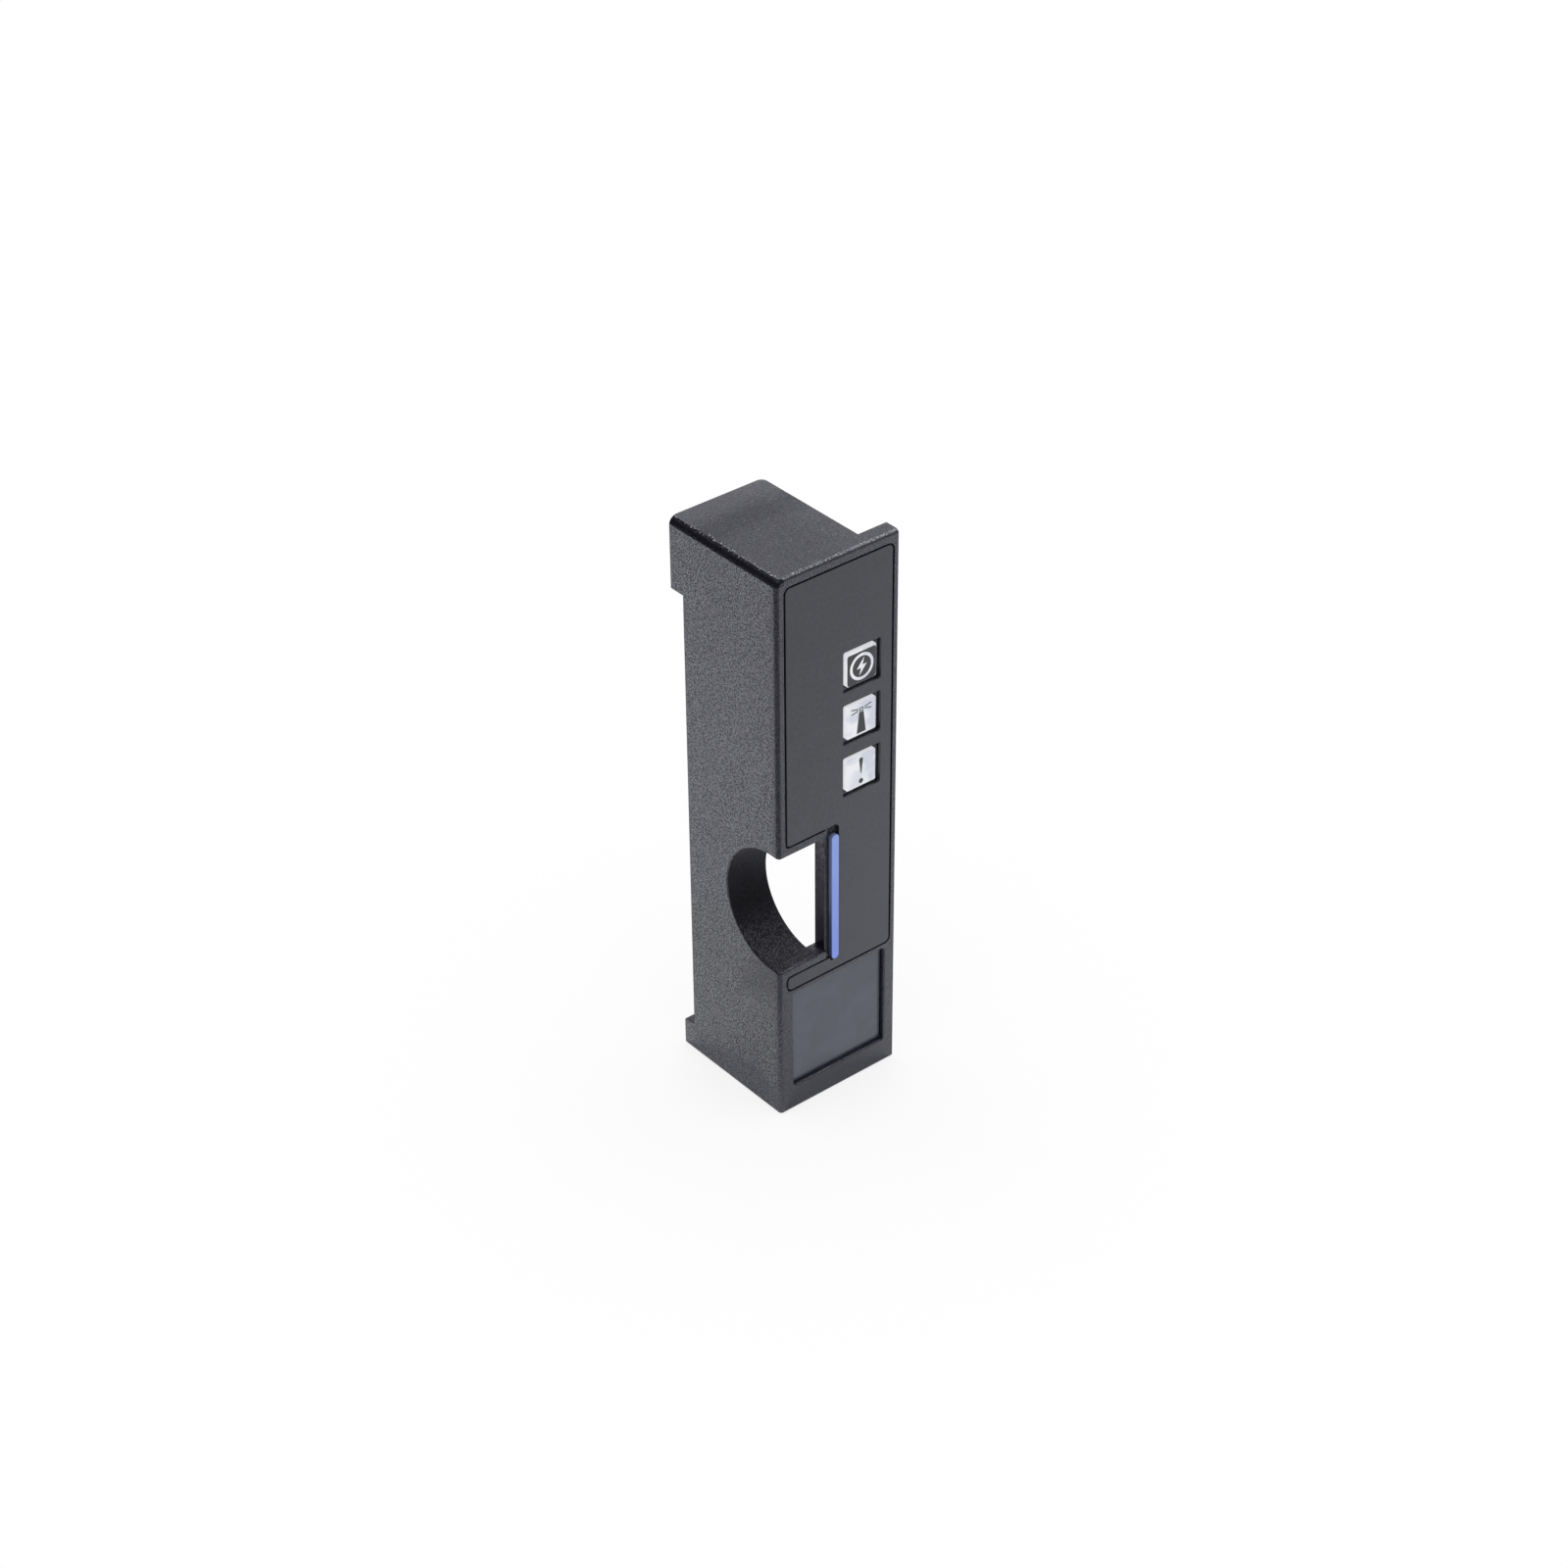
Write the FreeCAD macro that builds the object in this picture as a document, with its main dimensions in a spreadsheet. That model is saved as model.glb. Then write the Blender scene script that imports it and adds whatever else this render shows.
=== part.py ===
"""Cover for the left ear of a 2U storage enclosure.

The cover is drawn in a corner frame, in millimetres: x runs right from the left
face, y runs back from the front plane and z runs up from the foot. Every piece is
then placed so that the middle of the foot lies on the origin.
"""

import FreeCAD
import Part
import Sketcher
import math
import os

SIZES = (
    ("cover_height", 87.0, "overall height"),
    ("cover_width", 20.8, "width of the front plate"),
    ("cover_depth", 21.94, "front plane to the rear rim"),
    ("box_width", 15.85, "left face to the open right side, behind the plate"),
    ("plate_thickness", 2.5, "front plate"),
    ("wall_thickness", 2.0, "left, top and bottom walls"),
    ("crown_round", 1.3, "edge between the left wall and the top face"),
    ("front_round", 0.6, "left and top edges of the front face"),
    ("plate_round", 0.2, "edges of the plate's right end"),
    ("foot_round", 0.36, "left and front edges of the foot"),
    ("rear_round", 1.0, "right rear corner of the top and bottom walls"),
    ("rear_step", 2.56, "set-back of the left wall between its two tabs"),
    ("top_tab_height", 10.9, "tab of the left wall below the top face"),
    ("low_tab_height", 4.6, "tab of the left wall above the foot"),
    ("low_tab_round", 0.5, "rear corner of the low tab"),
    ("foot_inset", 0.42, "rear end of the foot and the low tab, ahead of the rear rim"),
    ("display_left", 2.48, "left face to the window for the display"),
    ("display_right", 1.88, "right edge of the plate to the same window"),
    ("display_bottom", 3.97, "foot to the same window"),
    ("display_height", 16.13, "height of the same window"),
    ("display_sink", 0.72, "front plane to the face of the pane"),
    ("display_ledge", 1.3, "width of the ledge that carries the pane"),
    ("display_round", 0.5, "corners of the window"),
    ("display_edge", 0.28, "front edge of the window"),
    ("pane_thickness", 0.8, "smoked pane"),
    ("pane_gap", 0.1, "play round the pane"),
    ("display_rim", 0.74, "bar between the pane and the overlay"),
    ("overlay_thickness", 0.5, "overlay plate, flush in its recess"),
    ("overlay_gap", 0.26, "open groove round the overlay"),
    ("overlay_round", 1.0, "outer corners of the recess"),
    ("collar_round", 0.75, "corners of the recess beside the cut-out"),
    ("notch_round", 0.75, "corner of the overlay above the touch strip"),
    ("rim_left", 1.29, "left face to the recess"),
    ("rim_right", 0.8, "right edge of the plate to the recess"),
    ("rim_top", 1.55, "top face to the recess"),
    ("tongue_height", 2.06, "strip of overlay below the cut-out"),
    ("collar_rim", 1.3, "rim of the cover above and below the cut-out"),
    ("cutout_radius", 9.45, "finger cut-out"),
    ("cutout_centre_depth", 1.55, "front plane to the centre of the cut-out"),
    ("cutout_width", 8.4, "left face to the edge of the plate in the cut-out"),
    ("cutout_round", 0.35, "edge round the cut-out"),
    ("tunnel_width", 6.8, "left face to the inner end of the finger tunnel"),
    ("tunnel_wall", 1.5, "wall of the finger tunnel"),
    ("strip_ledge", 0.82, "bare ledge left of the touch strip"),
    ("strip_width", 1.27, "touch strip"),
    ("strip_drop", 0.33, "lower end of the strip below the edge of the tongue"),
    ("strip_length", 20.83, "touch strip"),
    ("strip_proud", 0.2, "face of the strip in front of the front plane"),
    ("strip_round", 0.12, "front edge of the strip"),
    ("strip_gap", 0.1, "play round the strip"),
    ("window_from_right", 6.22, "right edge of the plate to the window centres"),
    ("window_from_top", 18.4, "top face to the centre of the first window"),
    ("window_width", 6.5, "window in the overlay"),
    ("window_height", 6.35, "window in the overlay"),
    ("window_bridge", 1.95, "bar between two windows"),
    ("window_round", 0.3, "corners of the windows"),
    ("window_step", 0.3, "step from the overlay to the hole in the plate"),
    ("pipe_width", 5.1, "face of a light pipe"),
    ("pipe_height", 5.07, "face of a light pipe"),
    ("pipe_round", 0.28, "corners of the face"),
    ("pipe_sink", 0.13, "front plane to the face of a light pipe"),
    ("flange_lip", 0.5, "flange of a light pipe past the hole in the plate"),
    ("flange_thickness", 1.0, "flange of a light pipe"),
    ("flange_gap", 0.1, "play round the flange"),
    ("rod_side", 3.8, "square rod of a light pipe"),
    ("rod_length", 9.5, "rod behind the flange"),
    ("rod_round", 0.6, "edges of the rod"),
    ("rod_gap", 0.1, "play round the rod"),
    ("holder_thickness", 2.8, "holder of the light pipes"),
    ("holder_side", 0.9, "wall of the holder beside the flanges"),
    ("holder_lug", 4.6, "lug past the first and the last flange"),
    ("holder_round", 1.5, "corners of the holder"),
    ("stake_radius", 1.0, "post that carries the holder"),
    ("stake_gap", 0.1, "play round the post"),
    ("stake_setting", 2.4, "flange to the centre of the post"),
    ("stake_head_radius", 1.7, "formed head of the post"),
    ("stake_head_thickness", 0.9, "formed head of the post"),
    ("stake_head_round", 0.6, "edge of the formed head"),
    ("socket_height", 2.2, "socket for the tab of the enclosure"),
    ("socket_depth", 7.5, "socket for the same tab"),
    ("socket_wall", 1.5, "walls of the socket"),
    ("socket_inset", 1.4, "rear rim to the mouth of the socket"),
    ("catch_height", 1.1, "snap catch on the bottom wall"),
    ("catch_width", 7.0, "snap catch"),
    ("catch_left", 5.0, "left face to the catch"),
    ("catch_inset", 1.5, "rear rim to the ramp of the catch"),
    ("catch_ramp", 2.4, "ramp of the catch"),
    ("catch_flat", 0.6, "crest of the catch"),
    ("gusset_width", 4.5, "gusset along the plate"),
    ("gusset_depth", 6.5, "gusset along the left wall"),
    ("gusset_thickness", 1.2, "gusset"),
    ("gusset_lift", 4.5, "collar of the cut-out to the first gusset"),
    ("gusset_pitch", 14.0, "first gusset to the next one"),
    ("cut_over", 1.0, "run of a cut past the face it leaves"),
)

PIPES = ("power_light_pipe", "identify_light_pipe", "fault_light_pipe")
GUSSETS = 2
NEAR = 1e-4

# Places that several pieces share.
WIDTH = "Sizes.cover_width"
HEIGHT = "Sizes.cover_height"
DEPTH = "Sizes.cover_depth"
PLATE = "Sizes.plate_thickness"
WALL = "Sizes.wall_thickness"
DISPLAY_RIGHT = "(Sizes.cover_width - Sizes.display_right)"
DISPLAY_TOP = "(Sizes.display_bottom + Sizes.display_height)"
RECESS_LEFT = "Sizes.rim_left"
RECESS_RIGHT = "(Sizes.cover_width - Sizes.rim_right)"
RECESS_BOTTOM = f"({DISPLAY_TOP} + Sizes.display_rim)"
RECESS_TOP = "(Sizes.cover_height - Sizes.rim_top)"
TONGUE_TOP = f"({RECESS_BOTTOM} + Sizes.overlay_gap + Sizes.tongue_height)"
COLLAR_BOTTOM = f"({TONGUE_TOP} + Sizes.overlay_gap)"
CUT_BOTTOM = f"({COLLAR_BOTTOM} + Sizes.collar_rim)"
CUT_CENTRE = f"({CUT_BOTTOM} + Sizes.cutout_radius)"
CUT_TOP = f"({CUT_CENTRE} + Sizes.cutout_radius)"
COLLAR_TOP = f"({CUT_TOP} + Sizes.collar_rim)"
STRIP_LEFT = "(Sizes.cutout_width + Sizes.strip_ledge)"
STRIP_RIGHT = f"({STRIP_LEFT} + Sizes.strip_width)"
STRIP_BOTTOM = f"({COLLAR_BOTTOM} - Sizes.overlay_gap - Sizes.strip_drop)"
STRIP_TOP = f"({STRIP_BOTTOM} + Sizes.strip_length)"
WINDOW_X = "(Sizes.cover_width - Sizes.window_from_right)"
WINDOW_Z = "(Sizes.cover_height - Sizes.window_from_top)"
WINDOW_PITCH = "(Sizes.window_height + Sizes.window_bridge)"
WINDOW_RUN = f"({len(PIPES) - 1} * {WINDOW_PITCH})"
HOLE_WIDTH = "(Sizes.window_width - 2 * Sizes.window_step)"
HOLE_HEIGHT = "(Sizes.window_height - 2 * Sizes.window_step)"
FLANGE_WIDTH = f"({HOLE_WIDTH} + 2 * Sizes.flange_lip)"
FLANGE_HEIGHT = f"({HOLE_HEIGHT} + 2 * Sizes.flange_lip)"
HOLDER_REAR = "(Sizes.plate_thickness + Sizes.holder_thickness)"
STAKE_UPPER = f"({WINDOW_Z} + {FLANGE_HEIGHT} / 2 + Sizes.stake_setting)"
STAKE_LOWER = f"({WINDOW_Z} - {WINDOW_RUN} - {FLANGE_HEIGHT} / 2 - Sizes.stake_setting)"
SHIFT_X = "(-Sizes.cover_width / 2)"
SHIFT_Y = "(-(Sizes.cover_depth - Sizes.strip_proud) / 2)"

doc = FreeCAD.newDocument("ear_cover")


def write_sizes():
    """Fill the sheet that drives every piece and return it."""
    sheet = doc.addObject("Spreadsheet::Sheet", "Sizes")
    for row, (name, value, note) in enumerate(SIZES, start=1):
        sheet.set(f"A{row}", name)
        sheet.set(f"B{row}", str(value))
        sheet.set(f"C{row}", note)
        sheet.setAlias(f"B{row}", name)
    doc.recompute()
    return sheet


sizes = write_sizes()


def value_of(formula):
    """Return the present value of a formula over the sheet."""
    return float(sizes.evalExpression(formula))


def new_body(label, x=SHIFT_X, y=SHIFT_Y, z=None):
    """Return an empty body with its place bound to the sheet."""
    body = doc.addObject("PartDesign::Body", label)
    body.Label = label
    body.setExpression("Placement.Base.x", x)
    body.setExpression("Placement.Base.y", y)
    if z is not None:
        body.setExpression("Placement.Base.z", z)
    return body


def origin_part(body, role):
    """Return the plane or axis of a body's own origin."""
    return next(part for part in body.Origin.OriginFeatures if part.Role == role)


def new_sketch(body, role, name, offset=None):
    """Return a sketch on an origin plane, moved along the plane's normal."""
    sketch = body.newObject("Sketcher::SketchObject", name)
    sketch.AttachmentSupport = [(origin_part(body, role), "")]
    sketch.MapMode = "FlatFace"
    if offset is not None:
        sketch.setExpression("AttachmentOffset.Base.z", offset)
    return sketch


def bind(sketch, constraint, formula):
    """Add a dimension to a sketch and tie it to a formula."""
    index = sketch.addConstraint(constraint)
    sketch.setExpression(f"Constraints[{index}]", formula)


def hold(sketch, kind, curve, point, formula):
    """Hold one point of a curve at a distance from the origin."""
    place = value_of(formula)
    if abs(place) < NEAR:
        axis = -2 if kind == "DistanceX" else -1
        sketch.addConstraint(Sketcher.Constraint("PointOnObject", curve, point, axis))
    elif place > 0:
        bind(sketch, Sketcher.Constraint(kind, -1, 1, curve, point, place), formula)
    else:
        bind(sketch, Sketcher.Constraint(kind, curve, point, -1, 1, -place), f"-({formula})")


def corner_arc(sketch, before, corner, after, radius):
    """Add the arc that rounds a corner; return it with its first and last point."""
    inward = (corner - before).normalize()
    outward = (after - corner).normalize()
    start = corner - inward * radius
    end = corner + outward * radius
    centre = start + outward * radius
    turns_left = inward.cross(outward).z > 0
    first, last = (start, end) if turns_left else (end, start)
    angles = [math.atan2(spot.y - centre.y, spot.x - centre.x) for spot in (first, last)]
    circle = Part.Circle(centre, FreeCAD.Vector(0, 0, 1), radius)
    arc = sketch.addGeometry(Part.ArcOfCircle(circle, angles[0], angles[1]), False)
    return (arc, 1, 2) if turns_left else (arc, 2, 1)


def square_outline(sketch, corners):
    """Draw a closed outline of level and upright lines with some corners rounded.

    Each corner is a formula for its place across, one for its place up and one for
    its radius, which is left out where the corner is sharp.
    """
    count = len(corners)
    spots = [FreeCAD.Vector(value_of(x), value_of(y), 0) for x, y, _ in corners]
    radii = [value_of(radius) if radius else 0.0 for _, _, radius in corners]
    lines = []
    for here in range(count):
        there = (here + 1) % count
        along = (spots[there] - spots[here]).normalize()
        start = spots[here] + along * radii[here]
        end = spots[there] - along * radii[there]
        lines.append(sketch.addGeometry(Part.LineSegment(start, end), False))
    for here, line in enumerate(lines):
        x, y, _ = corners[here]
        if x == corners[(here + 1) % count][0]:
            sketch.addConstraint(Sketcher.Constraint("Vertical", line))
            hold(sketch, "DistanceX", line, 1, x)
        else:
            sketch.addConstraint(Sketcher.Constraint("Horizontal", line))
            hold(sketch, "DistanceY", line, 1, y)
    for here, (_, _, radius) in enumerate(corners):
        before, after = lines[here - 1], lines[here]
        if radius is None:
            sketch.addConstraint(Sketcher.Constraint("Coincident", before, 2, after, 1))
            continue
        around = (spots[here - 1], spots[here], spots[(here + 1) % count])
        arc, first, last = corner_arc(sketch, *around, radii[here])
        sketch.addConstraint(Sketcher.Constraint("Tangent", before, 2, arc, first))
        sketch.addConstraint(Sketcher.Constraint("Tangent", arc, last, after, 1))
        bind(sketch, Sketcher.Constraint("Radius", arc, radii[here]), radius)


def rectangle(sketch, left, bottom, right, top, radius=None):
    """Draw a rectangle, with all its corners rounded where a radius is given."""
    corners = ((left, bottom), (right, bottom), (right, top), (left, top))
    square_outline(sketch, [(x, y, radius) for x, y in corners])


def middle_rectangle(sketch, x, y, width, height, radius=None):
    """Draw a rectangle about its middle."""
    rectangle(
        sketch,
        f"({x} - {width} / 2)",
        f"({y} - {height} / 2)",
        f"({x} + {width} / 2)",
        f"({y} + {height} / 2)",
        radius,
    )


def polygon(sketch, points):
    """Draw a closed outline of straight lines through points given as formulas."""
    spots = [FreeCAD.Vector(value_of(x), value_of(y), 0) for x, y in points]
    lines = []
    for here, spot in enumerate(spots):
        there = spots[(here + 1) % len(spots)]
        lines.append(sketch.addGeometry(Part.LineSegment(spot, there), False))
    for here, line in enumerate(lines):
        sketch.addConstraint(Sketcher.Constraint("Coincident", lines[here - 1], 2, line, 1))
        hold(sketch, "DistanceX", line, 1, points[here][0])
        hold(sketch, "DistanceY", line, 1, points[here][1])


def circle(sketch, x, y, radius):
    """Draw a full circle."""
    centre = FreeCAD.Vector(value_of(x), value_of(y), 0)
    curve = Part.Circle(centre, FreeCAD.Vector(0, 0, 1), value_of(radius))
    index = sketch.addGeometry(curve, False)
    hold(sketch, "DistanceX", index, 3, x)
    hold(sketch, "DistanceY", index, 3, y)
    bind(sketch, Sketcher.Constraint("Radius", index, value_of(radius)), radius)


def half_circle(sketch, x, y, radius):
    """Draw the half circle from straight below its centre to straight above it."""
    centre = FreeCAD.Vector(value_of(x), value_of(y), 0)
    curve = Part.Circle(centre, FreeCAD.Vector(0, 0, 1), value_of(radius))
    index = sketch.addGeometry(Part.ArcOfCircle(curve, -math.pi / 2, math.pi / 2), False)
    hold(sketch, "DistanceX", index, 3, x)
    hold(sketch, "DistanceY", index, 3, y)
    bind(sketch, Sketcher.Constraint("Radius", index, value_of(radius)), radius)
    return index


def extrude(body, kind, sketch, name, length, reverse=False):
    """Pad or pocket a sketch over a bound length."""
    feature = body.newObject(f"PartDesign::{kind}", name)
    feature.Profile = sketch
    feature.Type = "Length"
    feature.Reversed = reverse
    feature.setExpression("Length", length)
    sketch.Visibility = False
    body.Tip = feature
    doc.recompute()
    return feature


def repeat_upright(body, feature, name, run, count, upward=False):
    """Repeat a feature at even steps along the height, downward unless told otherwise."""
    pattern = body.newObject("PartDesign::LinearPattern", name)
    pattern.Originals = [feature]
    pattern.Direction = (origin_part(body, "Z_Axis"), [""])
    pattern.Reversed = not upward
    pattern.setExpression("Length", run)
    pattern.Occurrences = count
    body.Tip = pattern
    doc.recompute()
    return pattern


def round_edges(body, name, radius, chosen):
    """Round the edges of a body's present shape for which a test holds."""
    base = body.Tip
    names = [f"Edge{n}" for n, edge in enumerate(base.Shape.Edges, start=1) if chosen(edge)]
    feature = body.newObject("PartDesign::Fillet", name)
    feature.Base = (base, names)
    feature.setExpression("Radius", radius)
    body.Tip = feature
    doc.recompute()
    return feature


def lies_at(edge, axis, place):
    """Tell whether a whole edge keeps one place along an axis."""
    spots = [getattr(edge.valueAt(edge.getParameterByLength(edge.Length * part)), axis)
             for part in (0.0, 0.5, 1.0)]
    return all(abs(spot - place) < NEAR for spot in spots)


def shell_of_cover(body):
    """Make the outer block with its rounds, then hollow it from behind."""
    profile = new_sketch(body, "XY_Plane", "OuterProfile")
    square_outline(profile, (
        ("0", "0", None),
        (WIDTH, "0", None),
        (WIDTH, PLATE, None),
        ("Sizes.box_width", PLATE, None),
        ("Sizes.box_width", DEPTH, "Sizes.rear_round"),
        ("0", DEPTH, None),
    ))
    extrude(body, "Pad", profile, "OuterBlock", HEIGHT)
    top = value_of(HEIGHT)
    end = value_of(WIDTH)
    round_edges(
        body, "CrownRound", "Sizes.crown_round",
        lambda edge: lies_at(edge, "x", 0.0) and lies_at(edge, "z", top),
    )
    round_edges(
        body, "FrontRound", "Sizes.front_round",
        lambda edge: (lies_at(edge, "y", 0.0)
                      and not lies_at(edge, "z", 0.0)
                      and not lies_at(edge, "x", end)),
    )
    round_edges(
        body, "PlateRound", "Sizes.plate_round",
        lambda edge: lies_at(edge, "x", end) and not lies_at(edge, "z", 0.0),
    )
    round_edges(
        body, "FootRound", "Sizes.foot_round",
        lambda edge: (lies_at(edge, "z", 0.0)
                      and (lies_at(edge, "x", 0.0) or lies_at(edge, "y", 0.0))),
    )
    cavity = new_sketch(body, "XZ_Plane", "CavityProfile", f"-{DEPTH} - Sizes.cut_over")
    rectangle(cavity, WALL, WALL, "(Sizes.box_width + Sizes.cut_over)", f"({HEIGHT} - {WALL})")
    extrude(body, "Pocket", cavity, "Cavity", f"{DEPTH} + Sizes.cut_over - {PLATE}", reverse=True)
    step = new_sketch(body, "YZ_Plane", "RearStepProfile")
    rectangle(
        step,
        f"({DEPTH} - Sizes.rear_step)",
        "Sizes.low_tab_height",
        f"({DEPTH} + Sizes.cut_over)",
        f"({HEIGHT} - Sizes.top_tab_height)",
    )
    extrude(body, "Pocket", step, "RearStep", WALL, reverse=True)
    foot = new_sketch(body, "YZ_Plane", "FootEndProfile")
    foot_end = f"({DEPTH} - Sizes.foot_inset)"
    rectangle(
        foot, foot_end, "-Sizes.cut_over", f"({DEPTH} + Sizes.cut_over)", "Sizes.low_tab_height")
    extrude(body, "Pocket", foot, "FootEnd", "Sizes.box_width", reverse=True)
    tab = value_of("Sizes.low_tab_height")
    rear = value_of(foot_end)
    round_edges(
        body, "LowTabRound", "Sizes.low_tab_round",
        lambda edge: lies_at(edge, "z", tab) and lies_at(edge, "y", rear),
    )


def finger_cutout(body):
    """Cut the round finger grip through the left wall and plate and line it."""
    centre = ("Sizes.cutout_centre_depth", CUT_CENTRE)
    cut = new_sketch(body, "YZ_Plane", "FingerCutProfile")
    arc = half_circle(cut, *centre, "Sizes.cutout_radius")
    depth, middle, radius = (value_of(part) for part in (*centre, "Sizes.cutout_radius"))
    front = -value_of("Sizes.cut_over")
    corners = [
        FreeCAD.Vector(depth, middle + radius, 0),
        FreeCAD.Vector(front, middle + radius, 0),
        FreeCAD.Vector(front, middle - radius, 0),
        FreeCAD.Vector(depth, middle - radius, 0),
    ]
    upper, close, lower = [
        cut.addGeometry(Part.LineSegment(start, end), False)
        for start, end in zip(corners, corners[1:])
    ]
    cut.addConstraint(Sketcher.Constraint("Tangent", arc, 2, upper, 1))
    cut.addConstraint(Sketcher.Constraint("Coincident", upper, 2, close, 1))
    cut.addConstraint(Sketcher.Constraint("Coincident", close, 2, lower, 1))
    cut.addConstraint(Sketcher.Constraint("Tangent", lower, 2, arc, 1))
    cut.addConstraint(Sketcher.Constraint("Horizontal", upper))
    cut.addConstraint(Sketcher.Constraint("Vertical", close))
    cut.addConstraint(Sketcher.Constraint("Horizontal", lower))
    hold(cut, "DistanceX", close, 1, "-Sizes.cut_over")
    extrude(body, "Pocket", cut, "FingerCut", "Sizes.cutout_width", reverse=True)

    levels = (value_of(CUT_BOTTOM), value_of(CUT_TOP))
    corner = value_of("Sizes.front_round")

    def on_outer_rim(edge):
        """Tell the edges where the cut-out leaves the left and front faces."""
        spot = edge.valueAt(edge.getParameterByLength(edge.Length / 2))
        reach = math.hypot(spot.x - corner, spot.y - corner)
        on_corner = abs(reach - corner) < NEAR and max(spot.x, spot.y) < corner
        on_face = abs(spot.x) < NEAR or abs(spot.y) < NEAR
        flat = any(lies_at(edge, "z", level) for level in levels)
        return (flat and (on_face or on_corner)) or (
            lies_at(edge, "x", 0.0) and abs(edge.Length - math.pi * radius) < NEAR)

    round_edges(body, "CutoutRound", "Sizes.cutout_round", on_outer_rim)

    lining = new_sketch(body, "YZ_Plane", "TunnelProfile", f"{WALL} / 2")
    inner = half_circle(lining, *centre, "Sizes.cutout_radius")
    outer = half_circle(lining, *centre, "(Sizes.cutout_radius + Sizes.tunnel_wall)")
    thick = value_of("Sizes.tunnel_wall")
    for point, side in ((1, -1), (2, 1)):
        start = FreeCAD.Vector(depth, middle + side * radius, 0)
        end = FreeCAD.Vector(depth, middle + side * (radius + thick), 0)
        line = lining.addGeometry(Part.LineSegment(start, end), False)
        lining.addConstraint(Sketcher.Constraint("Coincident", line, 1, inner, point))
        lining.addConstraint(Sketcher.Constraint("Coincident", line, 2, outer, point))
        lining.addConstraint(Sketcher.Constraint("Vertical", line))
        hold(lining, "DistanceX", line, 1, centre[0])
    extrude(body, "Pad", lining, "FingerTunnel", f"Sizes.tunnel_width - {WALL} / 2")


def front_recesses(body):
    """Sink the beds of the overlay and the pane and open the display window."""
    bed = new_sketch(body, "XZ_Plane", "OverlayBedProfile")
    around = "Sizes.overlay_round"
    square_outline(bed, (
        (RECESS_LEFT, RECESS_BOTTOM, around),
        (RECESS_RIGHT, RECESS_BOTTOM, around),
        (RECESS_RIGHT, RECESS_TOP, around),
        (RECESS_LEFT, RECESS_TOP, around),
        (RECESS_LEFT, COLLAR_TOP, "Sizes.collar_round"),
        ("Sizes.cutout_width", COLLAR_TOP, None),
        ("Sizes.cutout_width", COLLAR_BOTTOM, None),
        (RECESS_LEFT, COLLAR_BOTTOM, "Sizes.collar_round"),
    ))
    extrude(body, "Pocket", bed, "OverlayBed", "Sizes.overlay_thickness")
    pane = new_sketch(body, "XZ_Plane", "PaneBedProfile")
    rectangle(
        pane, "Sizes.display_left", "Sizes.display_bottom", DISPLAY_RIGHT, DISPLAY_TOP,
        "Sizes.display_round",
    )
    extrude(body, "Pocket", pane, "PaneBed", "Sizes.display_sink + Sizes.pane_thickness")
    left, right = value_of("Sizes.display_left"), value_of(DISPLAY_RIGHT)
    low, high = value_of("Sizes.display_bottom"), value_of(DISPLAY_TOP)

    def on_window_edge(edge):
        """Tell the edges where the window leaves the front face."""
        spot = edge.valueAt(edge.getParameterByLength(edge.Length / 2))
        within = left - NEAR < spot.x < right + NEAR and low - NEAR < spot.z < high + NEAR
        return within and lies_at(edge, "y", 0.0)

    round_edges(body, "DisplayRound", "Sizes.display_edge", on_window_edge)
    opening = new_sketch(body, "XZ_Plane", "DisplayOpeningProfile")
    rectangle(
        opening,
        "(Sizes.display_left + Sizes.display_ledge)",
        "(Sizes.display_bottom + Sizes.display_ledge)",
        f"({DISPLAY_RIGHT} - Sizes.display_ledge)",
        f"({DISPLAY_TOP} - Sizes.display_ledge)",
        "Sizes.display_round",
    )
    extrude(body, "Pocket", opening, "DisplayOpening", f"{PLATE} + Sizes.cut_over")


def indicator_windows(body):
    """Open a row of windows in the plate for the light pipes."""
    hole = new_sketch(body, "XZ_Plane", "WindowProfile")
    middle_rectangle(hole, WINDOW_X, WINDOW_Z, HOLE_WIDTH, HOLE_HEIGHT, "Sizes.window_round")
    first = extrude(body, "Pocket", hole, "Window", f"{PLATE} + Sizes.cut_over")
    repeat_upright(body, first, "WindowRow", WINDOW_RUN, len(PIPES))


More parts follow.
